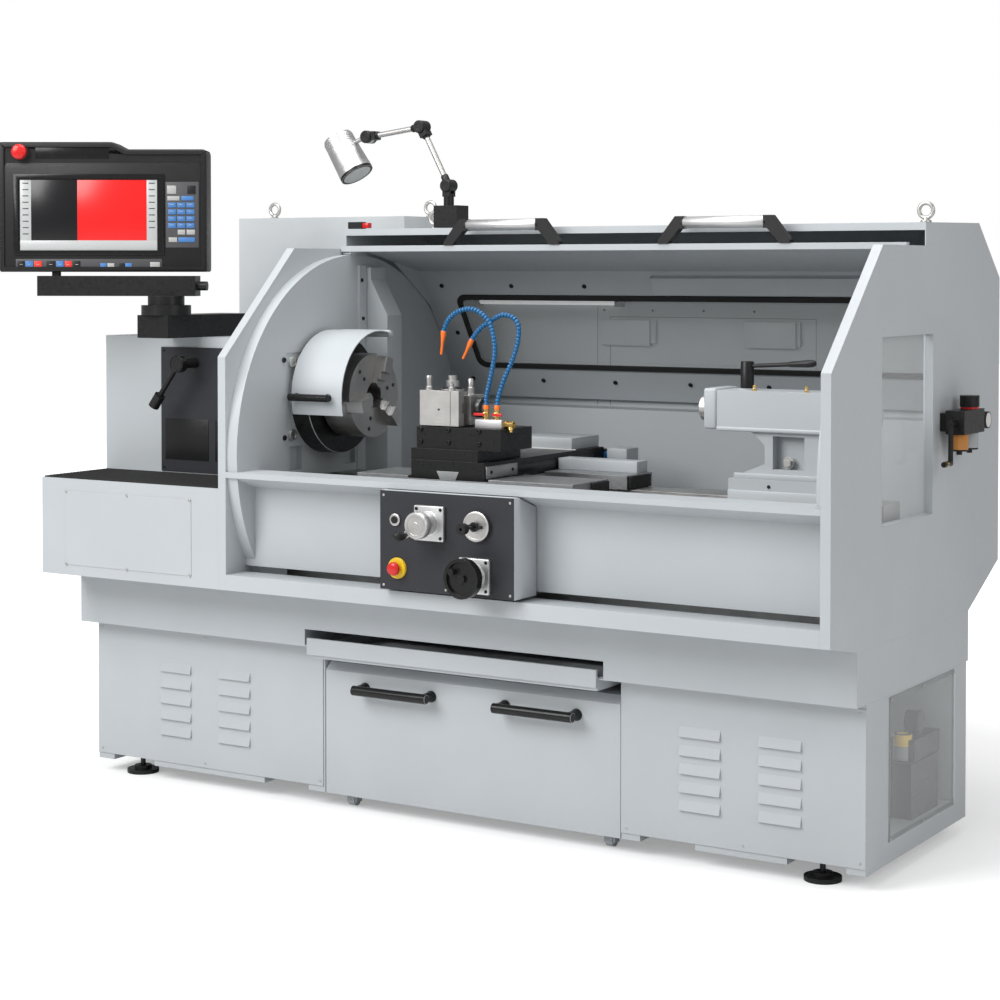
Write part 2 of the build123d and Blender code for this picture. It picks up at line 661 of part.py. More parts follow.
# Air regulator on the end plate: bracket, block, knob, gauge and two bowls
air_x = (machine_right + 18, machine_right + 72)
air_middle = (air_x[0] + air_x[1]) / 2
with BuildPart() as air_regulator:
    between((machine_right, air_x[0]), (196.0, 330.0), (1150.0, 1200.0))
    between(air_x, (190.0, 350.0), (1143.0, 1208.0))
    disc_z((air_middle, 305.0), 24, (1208.0, 1214.0))
    disc_z((air_middle, 305.0), 27, (1214.0, 1245.0))
    for bowl_y in (225.0, 305.0):
        disc_z((air_middle, bowl_y), 24, (1096.0, 1143.0))
        disc_z((air_middle, bowl_y), 8, (1086.0, 1096.0), sides=small_sides)
    disc_y((air_middle, 1171.0), 10, (350.0, 396.0), sides=small_sides)
    disc_x((415.0, 1171.0), 24, (air_middle - 18, air_middle + 16))
    pipe_y = 158.0
    pipe_z = (1067.0, 1176.0)
    bar((air_middle, 190.0, pipe_z[1]), (air_middle, pipe_y - 8, pipe_z[1]), 9, sides=small_sides)
    bar((air_middle, pipe_y, pipe_z[1]), (air_middle, pipe_y, pipe_z[0]), 7, sides=small_sides)
    bar((air_middle, pipe_y, pipe_z[0]), (air_middle, pipe_y - 52, pipe_z[0]), 8, sides=small_sides)
keep(air_regulator, "air_regulator")

# Gear lever on the range panel
lever_hub = (-905.0, 1303.0)
hub_face = tall_box_front - panel_sheet
knob = (-992.0, 1187.0)
with BuildPart() as gear_lever:
    disc_y(lever_hub, 26, (hub_face - 91, hub_face - 66))
    disc_y(lever_hub, 15, (hub_face - 66, hub_face - fit_gap))
    start = (lever_hub[0], hub_face - 80, lever_hub[1])
    bar(start, (knob[0], hub_face - 80, knob[1]), 8)
    run = Vector(knob[0] - lever_hub[0], 0, knob[1] - lever_hub[1]).normalized()
    grip = Vector(knob[0], hub_face - 80, knob[1])
    bar(tuple(grip - run * 22), tuple(grip + run * 22), 17)
keep(gear_lever, "gear_lever")

# Leadscrew under the front way
screw_y = -312.0
screw_z = 820.0
screw_radius = 12.0
screw_x = (-500.0, 1290.0)
with BuildPart() as z_screw:
    disc_x((screw_y, screw_z), screw_radius, screw_x)
    disc_x((screw_y, screw_z), screw_radius + 8, (-480.0, -472.0))
keep(z_screw, "z_screw")

# Saddle with its apron and the arm that reaches through the front slot
saddle_y = (slide_front, 83.0)
wing_top = slide_bottom + 7
wing_gap = 12.0
saddle_low = way_top + fit_gap
dovetail_top = (70.0, 145.0)
dovetail_foot = (82.0, 133.0)
dovetail_z = (slide_bottom - fit_gap, slide_bottom + 24)
apron_x = (60.0, 410.0)
apron_y = (-352.0, -276.0)
with BuildPart() as saddle:
    between((saddle_left, saddle_right), saddle_y, (saddle_low, dovetail_z[0]))
    inner_left = slide_middle - slide_width / 2 - wing_gap
    inner_right = slide_middle + slide_width / 2 + wing_gap
    for wing in ((saddle_left, inner_left), (inner_right, saddle_right)):
        between(wing, (saddle_y[0], -180.0), (dovetail_z[0], wing_top))
        between(wing, (-70.0, saddle_y[1]), (dovetail_z[0], wing_top))
        between(wing, (-180.0, -70.0), (saddle_low, dovetail_z[0]), Mode.SUBTRACT)
    with BuildSketch(Plane.XZ.offset(-saddle_y[0])) as tail:
        with BuildLine():
            Polyline((dovetail_foot[0], dovetail_z[0]), (dovetail_top[0], dovetail_z[1]),
                     (dovetail_top[1], dovetail_z[1]), (dovetail_foot[1], dovetail_z[0]), close=True)
        make_face()
    extrude(tail.sketch, amount=-(saddle_y[1] - saddle_y[0]))
    between(apron_x, apron_y, (702.0, saddle_low))
    disc_x((screw_y, screw_z), screw_radius + running_gap, apron_x, Mode.SUBTRACT)
    between((110.0, 360.0), (recess_y - 4, apron_y[0]), (707.5, 718.5))
keep(saddle, "saddle")

# Cross-slide with its compound plate, riser block, gib strip and the drive covers behind
slide_x = (slide_middle - slide_width / 2, slide_middle + slide_width / 2)
riser_front = -357.0
riser_top = 1147.0
with BuildPart() as cross_slide:
    between(slide_x, (slide_front, slide_front + slide_length), (slide_bottom, slide_top))
    with BuildSketch(Plane.XZ.offset(-slide_front)) as groove:
        with BuildLine():
            Polyline((dovetail_foot[0] - 0.4, slide_bottom), (dovetail_top[0] - 0.4, dovetail_z[1] + fit_gap),
                     (dovetail_top[1] + 0.4, dovetail_z[1] + fit_gap), (dovetail_foot[1] + 0.4, slide_bottom),
                     close=True)
        make_face()
    extrude(groove.sketch, amount=-slide_length, mode=Mode.SUBTRACT)
    between((-23.0, 202.0), (-367.0, -137.0), (slide_top, 1085.0))
    between((-11.0, 272.0), (riser_front, -190.0), (1085.0, riser_top))
    for screw in ((6.0, -340.0), (255.0, -340.0), (6.0, -207.0), (255.0, -207.0)):
        disc_z(screw, 9, (riser_top - 8, riser_top), Mode.SUBTRACT, sides=small_sides)
        disc_z(screw, 7.5, (riser_top - 8, riser_top - 1), sides=small_sides)
    between((slide_x[0] + 20, slide_x[1] - 20), (150.0, 303.0), (slide_top, 1085.0))
keep(cross_slide, "cross_slide")

# Toolpost: core, two tool holders, clamp nut and knurled ring
post_centre = (60.0, -278.0)
post_low = riser_top + fit_gap
with BuildPart() as toolpost:
    between((15.0, 105.0), (-323.0, -233.0), (post_low, 1242.0))
    disc_z(post_centre, 34, (1242.0, 1252.0))
    disc_z(post_centre, 13, (1252.0, 1290.0))
    disc_z(post_centre, 19, (1258.0, 1276.0))
    between((-5.0, 127.0), (-350.0, -323.0), (1150.0, 1250.0))
    between((-5.0, 127.0), (-333.0, -323.0), (1186.0, 1214.0), Mode.SUBTRACT)
    disc_z((20.0, -338.0), 8, (1250.0, 1278.0), sides=small_sides)
    disc_z((95.0, -338.0), 6, (1250.0, 1262.0), sides=small_sides)
    between((105.0, 138.0), (-305.0, -225.0), (1152.0, 1236.0))
    disc_x((-262.0, 1200.0), 27, (138.0, 156.0))
keep(toolpost, "toolpost")

# Coolant manifold with two valves, and the two bent hoses
manifold_y = (-332.0, -300.0)
hose_y = -316.0
hose_low = 1192.0
with BuildPart() as coolant_manifold:
    between((180.0, 252.0), manifold_y, (riser_top, 1163.0))
    for x in (198.0, 234.0):
        disc_z((x, hose_y), 11, (1163.0, 1168.0), sides=small_sides)
        disc_z((x, hose_y), 8, (1168.0, hose_low), sides=small_sides)
        disc_y((x, 1178.0), 7, (manifold_y[0] - 8, hose_y), sides=small_sides)
        between((x - 5, x + 5), (manifold_y[0] - 13, manifold_y[0] - 8), (1170.0, 1205.0))
    disc_x((hose_y, 1155.0), 7, (252.0, 276.0), sides=small_sides)
keep(coolant_manifold, "coolant_manifold")

hose_radius = 7.5
hose_sides = 8
nozzle_radius = 4.5


def jointed_hose(points, nozzle):
    """A ball-jointed hose along (x, y, z) points, with a slimmer nozzle on its free end."""
    with BuildLine() as run:
        Polyline(*points)
    first = Vector(*points[1]) - Vector(*points[0])
    with BuildSketch(Plane(origin=points[0], z_dir=first)) as section:
        RegularPolygon(hose_radius, hose_sides)
    sweep(section.sketch, path=run.line, transition=Transition.RIGHT)
    bar(points[-1], nozzle, nozzle_radius, sides=hose_sides)


# The left hose bends forward where the two cross, and the right one back
hose_left = [(198, -316, hose_low), (198, -316, hose_low + 24), (222, -324, 1309),
             (235, -330, 1372), (222, -330, 1434), (196, -330, 1466), (159, -330, 1482),
             (114, -330, 1475), (80, -330, 1451), (64, -330, 1419)]
hose_right = [(234, -316, hose_low), (234, -316, hose_low + 24), (252, -308, 1285),
              (274, -302, 1335), (292, -302, 1385), (296, -302, 1430), (281, -302, 1457),
              (244, -302, 1466), (208, -302, 1450), (170, -302, 1427), (141, -302, 1395)]
with BuildPart() as coolant_hoses:
    jointed_hose(hose_left, (55, -330, 1352))
    jointed_hose(hose_right, (111, -302, 1340))
keep(coolant_hoses, "coolant_hoses")

# Tailstock: base, leaning body, barrel, and a pocket in the front of the body
tail_x = (tail_left, tail_left + tail_length)
barrel_x = (barrel_left, tail_x[1] + 5)
barrel_y = (-172.0, -42.0)
with BuildPart() as tailstock_body:
    between(tail_x, (-187.0, 40.0), (saddle_low, 1030.0))
    between((tail_x[0] + 12, tail_x[1] - 8), (-175.0, 30.0), (1030.0, 1042.0))
    with BuildSketch(Plane.XZ.offset(160.0)) as side:
        with BuildLine():
            Polyline((915, 1042), (1215, 1042), (1238, 1170), (930, 1170), (985, 1120), (985, 1070),
                     close=True)
        make_face()
    extrude(side.sketch, amount=-105)
    between(barrel_x, barrel_y, (1165.0, 1266.0))
    barrel_end = barrel_x[1] - 12
    disc_x(spindle_axis, quill_radius + 14, (barrel_x[0] - 6, barrel_x[0]))
    disc_x(spindle_axis, quill_radius + running_gap, (barrel_x[0] - 6, barrel_end), Mode.SUBTRACT)
    disc_x(spindle_axis, 12 + running_gap, (barrel_end, barrel_x[1]), Mode.SUBTRACT)
    between((1009.0, 1101.0), (-160.0, -128.0), (1057.0, 1146.0), Mode.SUBTRACT)
    disc_y((1047.0, 1075.0), 11, (-142.0, -128.0), sides=6)
    disc_z((908.0, spindle_y), 24, (1266.0, 1270.0))
    for x in (950.0, 1102.0):
        disc_z((x, -150.0), 6, (1266.0, 1274.0), sides=small_sides)
keep(tailstock_body, "tailstock_body")

quill_nose = 778.0
screw_end = 1100.0
with BuildPart() as quill:
    disc_x(spindle_axis, quill_radius, (quill_nose, barrel_x[1] - 13))
    disc_x(spindle_axis, 14, (quill_nose, 1000.0), Mode.SUBTRACT)
    disc_x(spindle_axis, 12 + running_gap, (screw_end - quill_travel - 15, barrel_x[1] - 13), Mode.SUBTRACT)
keep(quill, "quill")

with BuildPart() as quill_handwheel:
    disc_x(spindle_axis, 12, (screw_end, 1252.0))
    disc_x(spindle_axis, 24, (1252.0, 1270.0))
    with BuildSketch(Plane.YZ.offset(1254.0)) as rim:
        with Locations(spindle_axis):
            Circle(90)
            Circle(74, mode=Mode.SUBTRACT)
            Rectangle(22, 160)
            Rectangle(160, 22)
    extrude(rim.sketch, amount=12)
    disc_x((spindle_y, spindle_z + 82), 9, (1266.0, 1286.0))
keep(quill_handwheel, "quill_handwheel")

with BuildPart() as tailstock_lever:
    disc_z((908.0, spindle_y), 18, (1270.0 + fit_gap, 1344.0))
    bar((908.0, spindle_y, 1330.0), (1060.0, spindle_y, 1338.0), 6)
    bar((1045.0, spindle_y, 1337.0), (1108.0, spindle_y, 1340.5), 10)
keep(tailstock_lever, "tailstock_lever")

# Cable chain on a shelf behind the rear way
chain_pitch = 19.0
chain_links = 17
with BuildPart() as drag_chain:
    for link in range(chain_links):
        x = 545.0 + link * chain_pitch
        between((x, x + 15), (92.0, 132.0), (938.0, 962.0))
    between((545.0, 545.0 + chain_links * chain_pitch), (98.0, 126.0), (941.0, 959.0))
    between((530.0, 900.0), (56.0 + fit_gap, 140.0), (934.0, 938.0))
keep(drag_chain, "drag_chain")

# Hood: lip bar, two sheets meeting at the fold, stiffener, end gussets and followers on the disc rim
lip_x = (cheek_left_x[1] + 2, cheek_right_x[0] - 2)
lip_z = (1649.0, 1667.0)
fold = (396.0, 1588.0)
hood_low = (653.0, 1173.0)
hood_x = (hood_left, hood_right)
hood_window_x = (hood_left + 124, hood_right - 112)
window_line = [(448.0, 1504.0), (586.0, 1281.2)]
follower_radius = 4.5
rim_line = disc_radius + follower_radius + 0.3
gusset_x = ((hood_left, hood_left + sheet), (hood_right - sheet, hood_right))
follower_x = ((lip_x[0] + 2, wall_disc_x - 5), (hood_right + 2.5, lip_x[1] - 1))
pin_x = ((follower_x[0][0], hood_left + sheet), (hood_right - sheet, follower_x[1][1]))
fold_turn = math.atan2(fold[1] - hood_axis_z, fold[0] - hood_axis_y)
low_turn = math.radians(14.0)
bar_turn = math.radians(91.7)
with BuildPart() as hood:
    between(lip_x, (19.0, 40.0), lip_z)
    folded_sheet([(36.0, 1663.4), fold, hood_low], hood_sheet, hood_x)
    slab(window_line, -10, 10, hood_window_x, Mode.SUBTRACT)
    slab([(404.0, 1574.5), (436.0, 1523.0)], -16, 1, (340.0, hood_right - 20))
    for x in gusset_x:
        side_profile([(250.0, 1620.6), (397.0, 1589.3), (471.3, 1469.3)], x)
        side_profile([(654.3, 1173.8), (591.3, 1275.5), (606.0, 1180.0)], x)
    for turn in (fold_turn, low_turn):
        centre = (hood_axis_y + rim_line * math.cos(turn), hood_axis_z + rim_line * math.sin(turn))
        for x in pin_x:
            disc_x(centre, 3, x, sides=small_sides)
        for x in follower_x:
            disc_x(centre, follower_radius, x, sides=small_sides)
    top_centre = (hood_axis_y + rim_line * math.cos(bar_turn), hood_axis_z + rim_line * math.sin(bar_turn))
    for x in follower_x:
        disc_x(top_centre, follower_radius, x, sides=small_sides)
    for x in ((-520.0, -517.0), (1303.0, 1305.5)):
        between(x, (26.0, 35.0), (lip_z[0] - 8, lip_z[0] + 1))
keep(hood, "hood")

trim = 16.0
with BuildPart() as hood_window:
    slab(window_line, -2, 5, hood_window_x)
    run = math.dist(*window_line)
    step = ((window_line[1][0] - window_line[0][0]) / run, (window_line[1][1] - window_line[0][1]) / run)
    pane_line = [(window_line[0][0] + trim * step[0], window_line[0][1] + trim * step[1]),
                 (window_line[1][0] - trim * step[0], window_line[1][1] - trim * step[1])]
    pane_x = (hood_window_x[0] + trim, hood_window_x[1] - trim)
    slab(pane_line, 3, 6, pane_x, Mode.SUBTRACT)
    slab(pane_line, -3, 0, pane_x, Mode.SUBTRACT)
keep(hood_window, "hood_window")

hood_handle_z = lip_z[1] + 60
with BuildPart() as hood_handles:
    for grip in ((-89.0, 165.0), (642.0, 902.0)):
        disc_x((28.0, hood_handle_z), 16, grip)
        for end, way in ((grip[0], -1), (grip[1], 1)):
            with BuildSketch(Plane.XZ.offset(-14.0)) as bracket:
                with BuildLine():
                    low = lip_z[1]
                    tube = hood_handle_z
                    Polyline((end + 75 * way, low), (end + 75 * way, low + 9), (end + 20 * way, tube + 18),
                             (end - 6 * way, tube + 18), (end - 6 * way, tube - 18),
                             (end + 6 * way, tube - 18), (end + 44 * way, low), close=True)
                make_face()
            extrude(bracket.sketch, amount=-26)
keep(hood_handles, "hood_handles")

# Work lamp: base on the roof, two arms and a round head, joined by pinned knuckles
lamp_y = 113.0
knuckle_pin = 5.0
eye_radius = 20.0


def lamp_eye(centre):
    """The middle leaf of a knuckle, bored for the pin."""
    disc_y(centre, eye_radius, (lamp_y - 8, lamp_y + 8))


def lamp_fork(centre, away):
    """Two outer leaves with the pin across them; away points from the knuckle to the fork's own arm."""
    along = Vector(away[0], 0, away[1]).normalized()
    for low, high in ((lamp_y - 17, lamp_y - 8 - fit_gap), (lamp_y + 8 + fit_gap, lamp_y + 17)):
        disc_y(centre, eye_radius, (low, high))
        plane = Plane(origin=(centre[0], low, centre[1]), x_dir=along, z_dir=(0, 1, 0))
        with BuildSketch(plane) as leaf:
            with Locations((17, 0)):
                Rectangle(34, 26)
        extrude(leaf.sketch, amount=high - low)
    plane = Plane(origin=(centre[0], lamp_y - 17, centre[1]), x_dir=along, z_dir=(0, 1, 0))
    with BuildSketch(plane) as bridge:
        with Locations((29, 0)):
            Rectangle(10, 26)
    extrude(bridge.sketch, amount=34)
    disc_y(centre, knuckle_pin, (lamp_y - 17, lamp_y + 17))


def lamp_bore(centre):
    """The pin hole through an eye."""
    disc_y(centre, knuckle_pin + running_gap, (lamp_y - 8, lamp_y + 8), Mode.SUBTRACT)


def lamp_arm(low, high, radius):
    """An arm with an eye at its lower knuckle and a fork at its upper one."""
    along = Vector(high[0] - low[0], 0, high[1] - low[1]).normalized()
    with BuildPart() as arm:
        start = (low[0] + along.X * 15, lamp_y, low[1] + along.Z * 15)
        end = (high[0] - along.X * 28, lamp_y, high[1] - along.Z * 28)
        bar(start, end, radius)
        lamp_eye(low)
        lamp_bore(low)
        lamp_fork(high, (-along.X, -along.Z))
    return arm


knuckle_1 = (-209.0, 1851.0)
knuckle_2 = (-308.0, 2035.0)
knuckle_3 = (-510.0, 2010.0)
with BuildPart() as lamp_base:
    between((-248.0, -163.0), (lamp_y - 26, lamp_y + 40), (rear_top + 1, 1790.0))
    disc_z((knuckle_1[0], lamp_y), 16, (1790.0, 1826.0))
    lamp_fork(knuckle_1, (0, -1))
keep(lamp_base, "lamp_base")

keep(lamp_arm(knuckle_1, knuckle_2, 7), "lamp_lower_arm")
keep(lamp_arm(knuckle_2, knuckle_3, 7), "lamp_upper_arm")

head_back = (-632.0, lamp_y, 2011.0)
head_front = (-559.0, lamp_y, 1899.0)
with BuildPart() as lamp_head:
    lamp_eye(knuckle_3)
    bar((knuckle_3[0] - 15, lamp_y, knuckle_3[1]), (-590.0, lamp_y, 1985.0), 7)
    lamp_bore(knuckle_3)
    head_run = Vector(*head_front) - Vector(*head_back)
    with BuildSketch(Plane(origin=head_back, z_dir=head_run)) as shade:
        Circle(46)
    extrude(shade.sketch, amount=head_run.length, taper=-3)
    bar(head_front, tuple(Vector(*head_front) + head_run.normalized() * 8), 54)
keep(lamp_head, "lamp_head")

# Pendant: fixed arm on the cover, swivel, upper arm, housing and its stop button
arm_low = tall_box_top
swivel_z = (tall_box_top + 70, tall_box_top + 100)
turn = math.radians(pendant_turn)
reach = Vector(-math.cos(turn), -math.sin(turn), 0)
side_turn = math.radians(pendant_facing)
across = Vector(math.cos(side_turn), math.sin(side_turn), 0)
facing = Vector(math.sin(side_turn), -math.cos(side_turn), 0)
housing_pivot = Vector(pendant_pivot[0], pendant_pivot[1], 0) + reach * pendant_hub
with BuildPart() as pendant_arm:
    foot_x = (pendant_pivot[0] - 64, pendant_pivot[0] + 58)
    between(foot_x, (pendant_pivot[1] - 60, pendant_pivot[1] + 340), (arm_low, swivel_z[0]))
    disc_z(pendant_pivot, 76, swivel_z)
    disc_z(pendant_pivot, 20, (swivel_z[1], swivel_z[1] + 20))
keep(pendant_arm, "pendant_arm")

arm_z = (swivel_z[1] + 28, swivel_z[1] + 90)
with BuildPart() as pendant_swing_arm:
    disc_z(pendant_pivot, 56, (swivel_z[1] + fit_gap, arm_z[0]))
    disc_z(pendant_pivot, 20 + running_gap, (swivel_z[1], swivel_z[1] + 21), Mode.SUBTRACT)
    start = Vector(pendant_pivot[0], pendant_pivot[1], arm_z[0]) - reach * 100
    with BuildSketch(Plane(origin=start, x_dir=reach, z_dir=(0, 0, 1))) as beam:
        with Locations((pendant_arm_length / 2, 0)):
            Rectangle(pendant_arm_length, 62)
    extrude(beam.sketch, amount=arm_z[1] - arm_z[0])
    knob_at = start + Vector(0, 0, 31)
    bar(tuple(knob_at), tuple(knob_at - reach * 30), 14)
    disc_z((housing_pivot.X, housing_pivot.Y), 14, (arm_z[1], arm_z[1] + 24))
keep(pendant_swing_arm, "pendant_swing_arm")

housing_low = arm_z[1] + 8
housing_depth = 118.0
step_drop = 23.0
recess = 8.0
housing_origin = Vector(housing_pivot.X, housing_pivot.Y, housing_low) + facing * 30
face_plane = Plane(origin=housing_origin, x_dir=across, z_dir=facing)
left_edge = -171.0
right_edge = left_edge + pendant_width
stop_at = (left_edge + 66, pendant_height - 32)
with BuildPart() as pendant_housing:
    with BuildSketch(face_plane) as outline:
        with BuildLine():
            Polyline((left_edge, 0), (left_edge, pendant_height), (left_edge + 350, pendant_height),
                     (left_edge + 395, pendant_height - step_drop), (right_edge, pendant_height - step_drop),
                     (right_edge, 0), close=True)
        make_face()
    extrude(outline.sketch, amount=-housing_depth)
    middle = (left_edge + 281, 188)
    with BuildSketch(face_plane) as screen:
        with Locations(middle):
            Rectangle(452, 240)
    extrude(screen.sketch, amount=-recess, mode=Mode.SUBTRACT)
    with BuildSketch(face_plane) as stop_hole:
        with Locations(stop_at):
            Circle(8.5)
    extrude(stop_hole.sketch, amount=-30, mode=Mode.SUBTRACT)
    pivot_at = (housing_pivot.X, housing_pivot.Y)
    disc_z(pivot_at, 14 + running_gap, (housing_low, housing_low + 20), Mode.SUBTRACT)
keep(pendant_housing, "pendant_housing")

with BuildPart() as pendant_estop:
    with BuildSketch(face_plane.offset(6)) as head:
        with Locations(stop_at):
            Circle(24)
    extrude(head.sketch, amount=20)
    with BuildSketch(face_plane.offset(-14)) as stem:
        with Locations(stop_at):
            Circle(8)
    extrude(stem.sketch, amount=20)
keep(pendant_estop, "pendant_estop")

# Control box on the carriage, shaped to pass under the upper rail
box_shape = [(panel_y, panel_low), (panel_y, panel_top), (-553.0, panel_top - 1), (recess_y - 4, 951.0),
             (recess_y - 4, panel_low)]
wheel_z = (185.0, 903.0)
wheel_x = (331.0, 770.0)
jog_at = (338.0, 904.0)
stop_centre = (77.0, 773.0)
button_at = (70.0, 906.0)
flange_half = 48.0
flange_front = panel_y - 10
with BuildPart() as control_box:
    side_profile(box_shape, (panel_left, panel_right))
    for axis in (wheel_z, wheel_x):
        between((axis[0] - flange_half, axis[0] + flange_half), (flange_front, panel_y),
                (axis[1] - flange_half, axis[1] + flange_half))
        disc_y(axis, 8 + running_gap, (flange_front, panel_y + 12), Mode.SUBTRACT)
    disc_y(jog_at, 42, (flange_front, panel_y))
    disc_y(jog_at, 14, (flange_front, panel_y), Mode.SUBTRACT)
    for side in (-1, 1):
        lug = jog_at[0] + side * 18
        between((lug - 3, lug + 3), (flange_front - 14, flange_front), (jog_at[1] - 5, jog_at[1] + 5))
        disc_x((flange_front - 9, jog_at[1]), 2 + running_gap, (lug - 3, lug + 3), Mode.SUBTRACT)
    disc_y(stop_centre, 23, (panel_y - 8, panel_y))
    disc_y(stop_centre, 8.5, (panel_y - 8, panel_y + 14), Mode.SUBTRACT)
    disc_y(button_at, 15, (panel_y - 5, panel_y))
    disc_y(button_at, 10.5, (panel_y - 5, panel_y + 8), Mode.SUBTRACT)
keep(control_box, "control_box")

with BuildPart() as z_handwheel:
    disc_y(wheel_z, 8, (flange_front - 5, panel_y + 11))
    disc_y(wheel_z, 30, (flange_front - 40, flange_front - fit_gap))
    disc_y(wheel_z, 37, (flange_front - 64, flange_front - 40))
    crank = (wheel_z[0] - 44, wheel_z[1] - 30)
    bar((wheel_z[0], flange_front - 52, wheel_z[1]), (crank[0], flange_front - 52, crank[1]), 7)
    disc_y(crank, 12, (flange_front - 98, flange_front - 45))
keep(z_handwheel, "z_handwheel")

with BuildPart() as x_handwheel:
    disc_y(wheel_x, 8, (flange_front - 5, panel_y + 11))
    disc_y(wheel_x, 28, (flange_front - 42, flange_front - fit_gap))
    disc_y(wheel_x, 54, (flange_front - 66, flange_front - 42))
    disc_y(wheel_x, 45, (flange_front - 66, flange_front - 58), Mode.SUBTRACT)
    disc_y(wheel_x, 12, (flange_front - 66, flange_front - 58))
    disc_y((wheel_x[0] - 26, wheel_x[1] + 18), 9, (flange_front - 76, flange_front - 58))
keep(x_handwheel, "x_handwheel")

pin_y = flange_front - 9
with BuildPart() as jog_gimbal:
    disc_y(jog_at, 13, (pin_y - 4, pin_y + 4))
    disc_y(jog_at, 8, (pin_y - 4, pin_y + 4), Mode.SUBTRACT)
    for side in (-1, 1):
        disc_x((pin_y, jog_at[1]), 2, tuple(sorted((jog_at[0] + side * 12, jog_at[0] + side * 20.8))))
        bore_z = tuple(sorted((jog_at[1] + side * 7, jog_at[1] + side * 13.5)))
        disc_z((jog_at[0], pin_y), 1.5 + running_gap, bore_z, Mode.SUBTRACT)
keep(jog_gimbal, "jog_gimbal")

with BuildPart() as jog_stick:
    disc_z((jog_at[0], pin_y), 1.5, (jog_at[1] - 12.5, jog_at[1] + 12.5))
    disc_y(jog_at, 4, (panel_y - 68, pin_y + 5))
    disc_y(jog_at, 15, (panel_y - 86, panel_y - 66))
keep(jog_stick, "jog_stick")

with BuildPart() as carriage_estop:
    disc_y(stop_centre, 19, (panel_y - 37, panel_y - 14))
    disc_y(stop_centre, 8, (panel_y - 14, panel_y + 6))
keep(carriage_estop, "carriage_estop")

with BuildPart() as cycle_button:
    disc_y(button_at, 10, (panel_y - 9, panel_y + 2))
keep(cycle_button, "cycle_button")
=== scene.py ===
# %% [markdown]
# A bed lathe with a rolling hood stands on a pale studio floor.
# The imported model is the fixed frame: every new piece is made in metres around it and rides on one of
# its bodies.
# %% The frame
import bpy
import bmesh
import math
from mathutils import Matrix, Vector


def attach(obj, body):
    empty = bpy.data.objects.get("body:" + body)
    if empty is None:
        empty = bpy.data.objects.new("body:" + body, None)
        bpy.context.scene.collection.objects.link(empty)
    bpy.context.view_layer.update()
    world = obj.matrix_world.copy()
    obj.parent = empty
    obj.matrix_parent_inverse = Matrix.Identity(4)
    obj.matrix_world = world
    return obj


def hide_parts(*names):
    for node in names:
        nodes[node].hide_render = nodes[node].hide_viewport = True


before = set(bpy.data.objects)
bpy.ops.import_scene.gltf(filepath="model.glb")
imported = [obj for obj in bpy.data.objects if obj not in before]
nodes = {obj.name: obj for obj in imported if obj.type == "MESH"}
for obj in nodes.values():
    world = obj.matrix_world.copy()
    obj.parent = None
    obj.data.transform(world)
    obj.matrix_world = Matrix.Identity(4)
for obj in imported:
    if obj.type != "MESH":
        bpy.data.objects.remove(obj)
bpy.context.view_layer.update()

# %% [markdown]
# The camera stands at the tailstock end, at head height, looking along the front of the machine.
# A long lens keeps the rails nearly parallel, and the small shift keeps the uprights upright.
# %% Camera
camera_data = bpy.data.cameras.new("studio_camera")
camera = bpy.data.objects.new("studio_camera", camera_data)
bpy.context.scene.collection.objects.link(camera)
camera.location = (3.4758, -5.5067, 1.5940)
camera.rotation_euler = (math.radians(88.53), 0.0, math.radians(31.91))
camera_data.sensor_width = 36.0
camera_data.lens = 78.51
camera_data.shift_y = -0.1747
camera_data.clip_end = 60.0
bpy.context.scene.camera = camera

# %% [markdown]
# The light is a bright room: an even world, a wide lamp above the operator, a weak one at the tail end and
# one overhead. The world looks white to the camera and through clear panes, and lights the rest more weakly.
# %% Light and floor
scene = bpy.context.scene
scene.view_settings.view_transform = "Standard"
world = bpy.data.worlds.new("studio_world")
scene.world = world
world.use_nodes = True
tree = world.node_tree
tree.nodes.clear()
output = tree.nodes.new("ShaderNodeOutputWorld")
even = tree.nodes.new("ShaderNodeBackground")
even.inputs["Strength"].default_value = 0.44
white = tree.nodes.new("ShaderNodeBackground")
white.inputs["Strength"].default_value = 1.0
for background in (even, white):
    background.inputs["Color"].default_value = (1.0, 1.0, 1.0, 1.0)
path = tree.nodes.new("ShaderNodeLightPath")
either = tree.nodes.new("ShaderNodeMath")
either.operation = "MAXIMUM"
blend = tree.nodes.new("ShaderNodeMixShader")
tree.links.new(path.outputs["Is Camera Ray"], either.inputs[0])
tree.links.new(path.outputs["Is Transmission Ray"], either.inputs[1])
tree.links.new(either.outputs[0], blend.inputs[0])
tree.links.new(even.outputs[0], blend.inputs[1])
tree.links.new(white.outputs[0], blend.inputs[2])
tree.links.new(blend.outputs[0], output.inputs["Surface"])


def area_lamp(name, place, target, size, power):
    """A square soft lamp aimed at a point."""
    data = bpy.data.lights.new(name, "AREA")
    data.size = size
    data.energy = power
    lamp = bpy.data.objects.new(name, data)
    bpy.context.scene.collection.objects.link(lamp)
    lamp.location = place
    lamp.rotation_euler = (Vector(target) - Vector(place)).to_track_quat("-Z", "Y").to_euler()
    return lamp


area_lamp("key_lamp", (-1.8, -4.6, 4.2), (0.0, 0.0, 0.9), 3.4, 296)
area_lamp("fill_lamp", (4.6, -1.2, 2.6), (0.4, 0.0, 0.9), 2.6, 42)
area_lamp("top_lamp", (0.4, -0.6, 5.2), (0.0, 0.0, 1.0), 3.0, 135)

bpy.ops.mesh.primitive_plane_add(size=60.0, location=(0.0, 0.0, 0.0))
floor = bpy.context.active_object
floor.name = "studio_floor"

# %% [markdown]
# Every finish is built from the same few steps: a base colour that drifts a little, a finer grain in the
# roughness, and a bump at the size of the real texture, all on Object coordinates in metres.
# %% Finish helpers


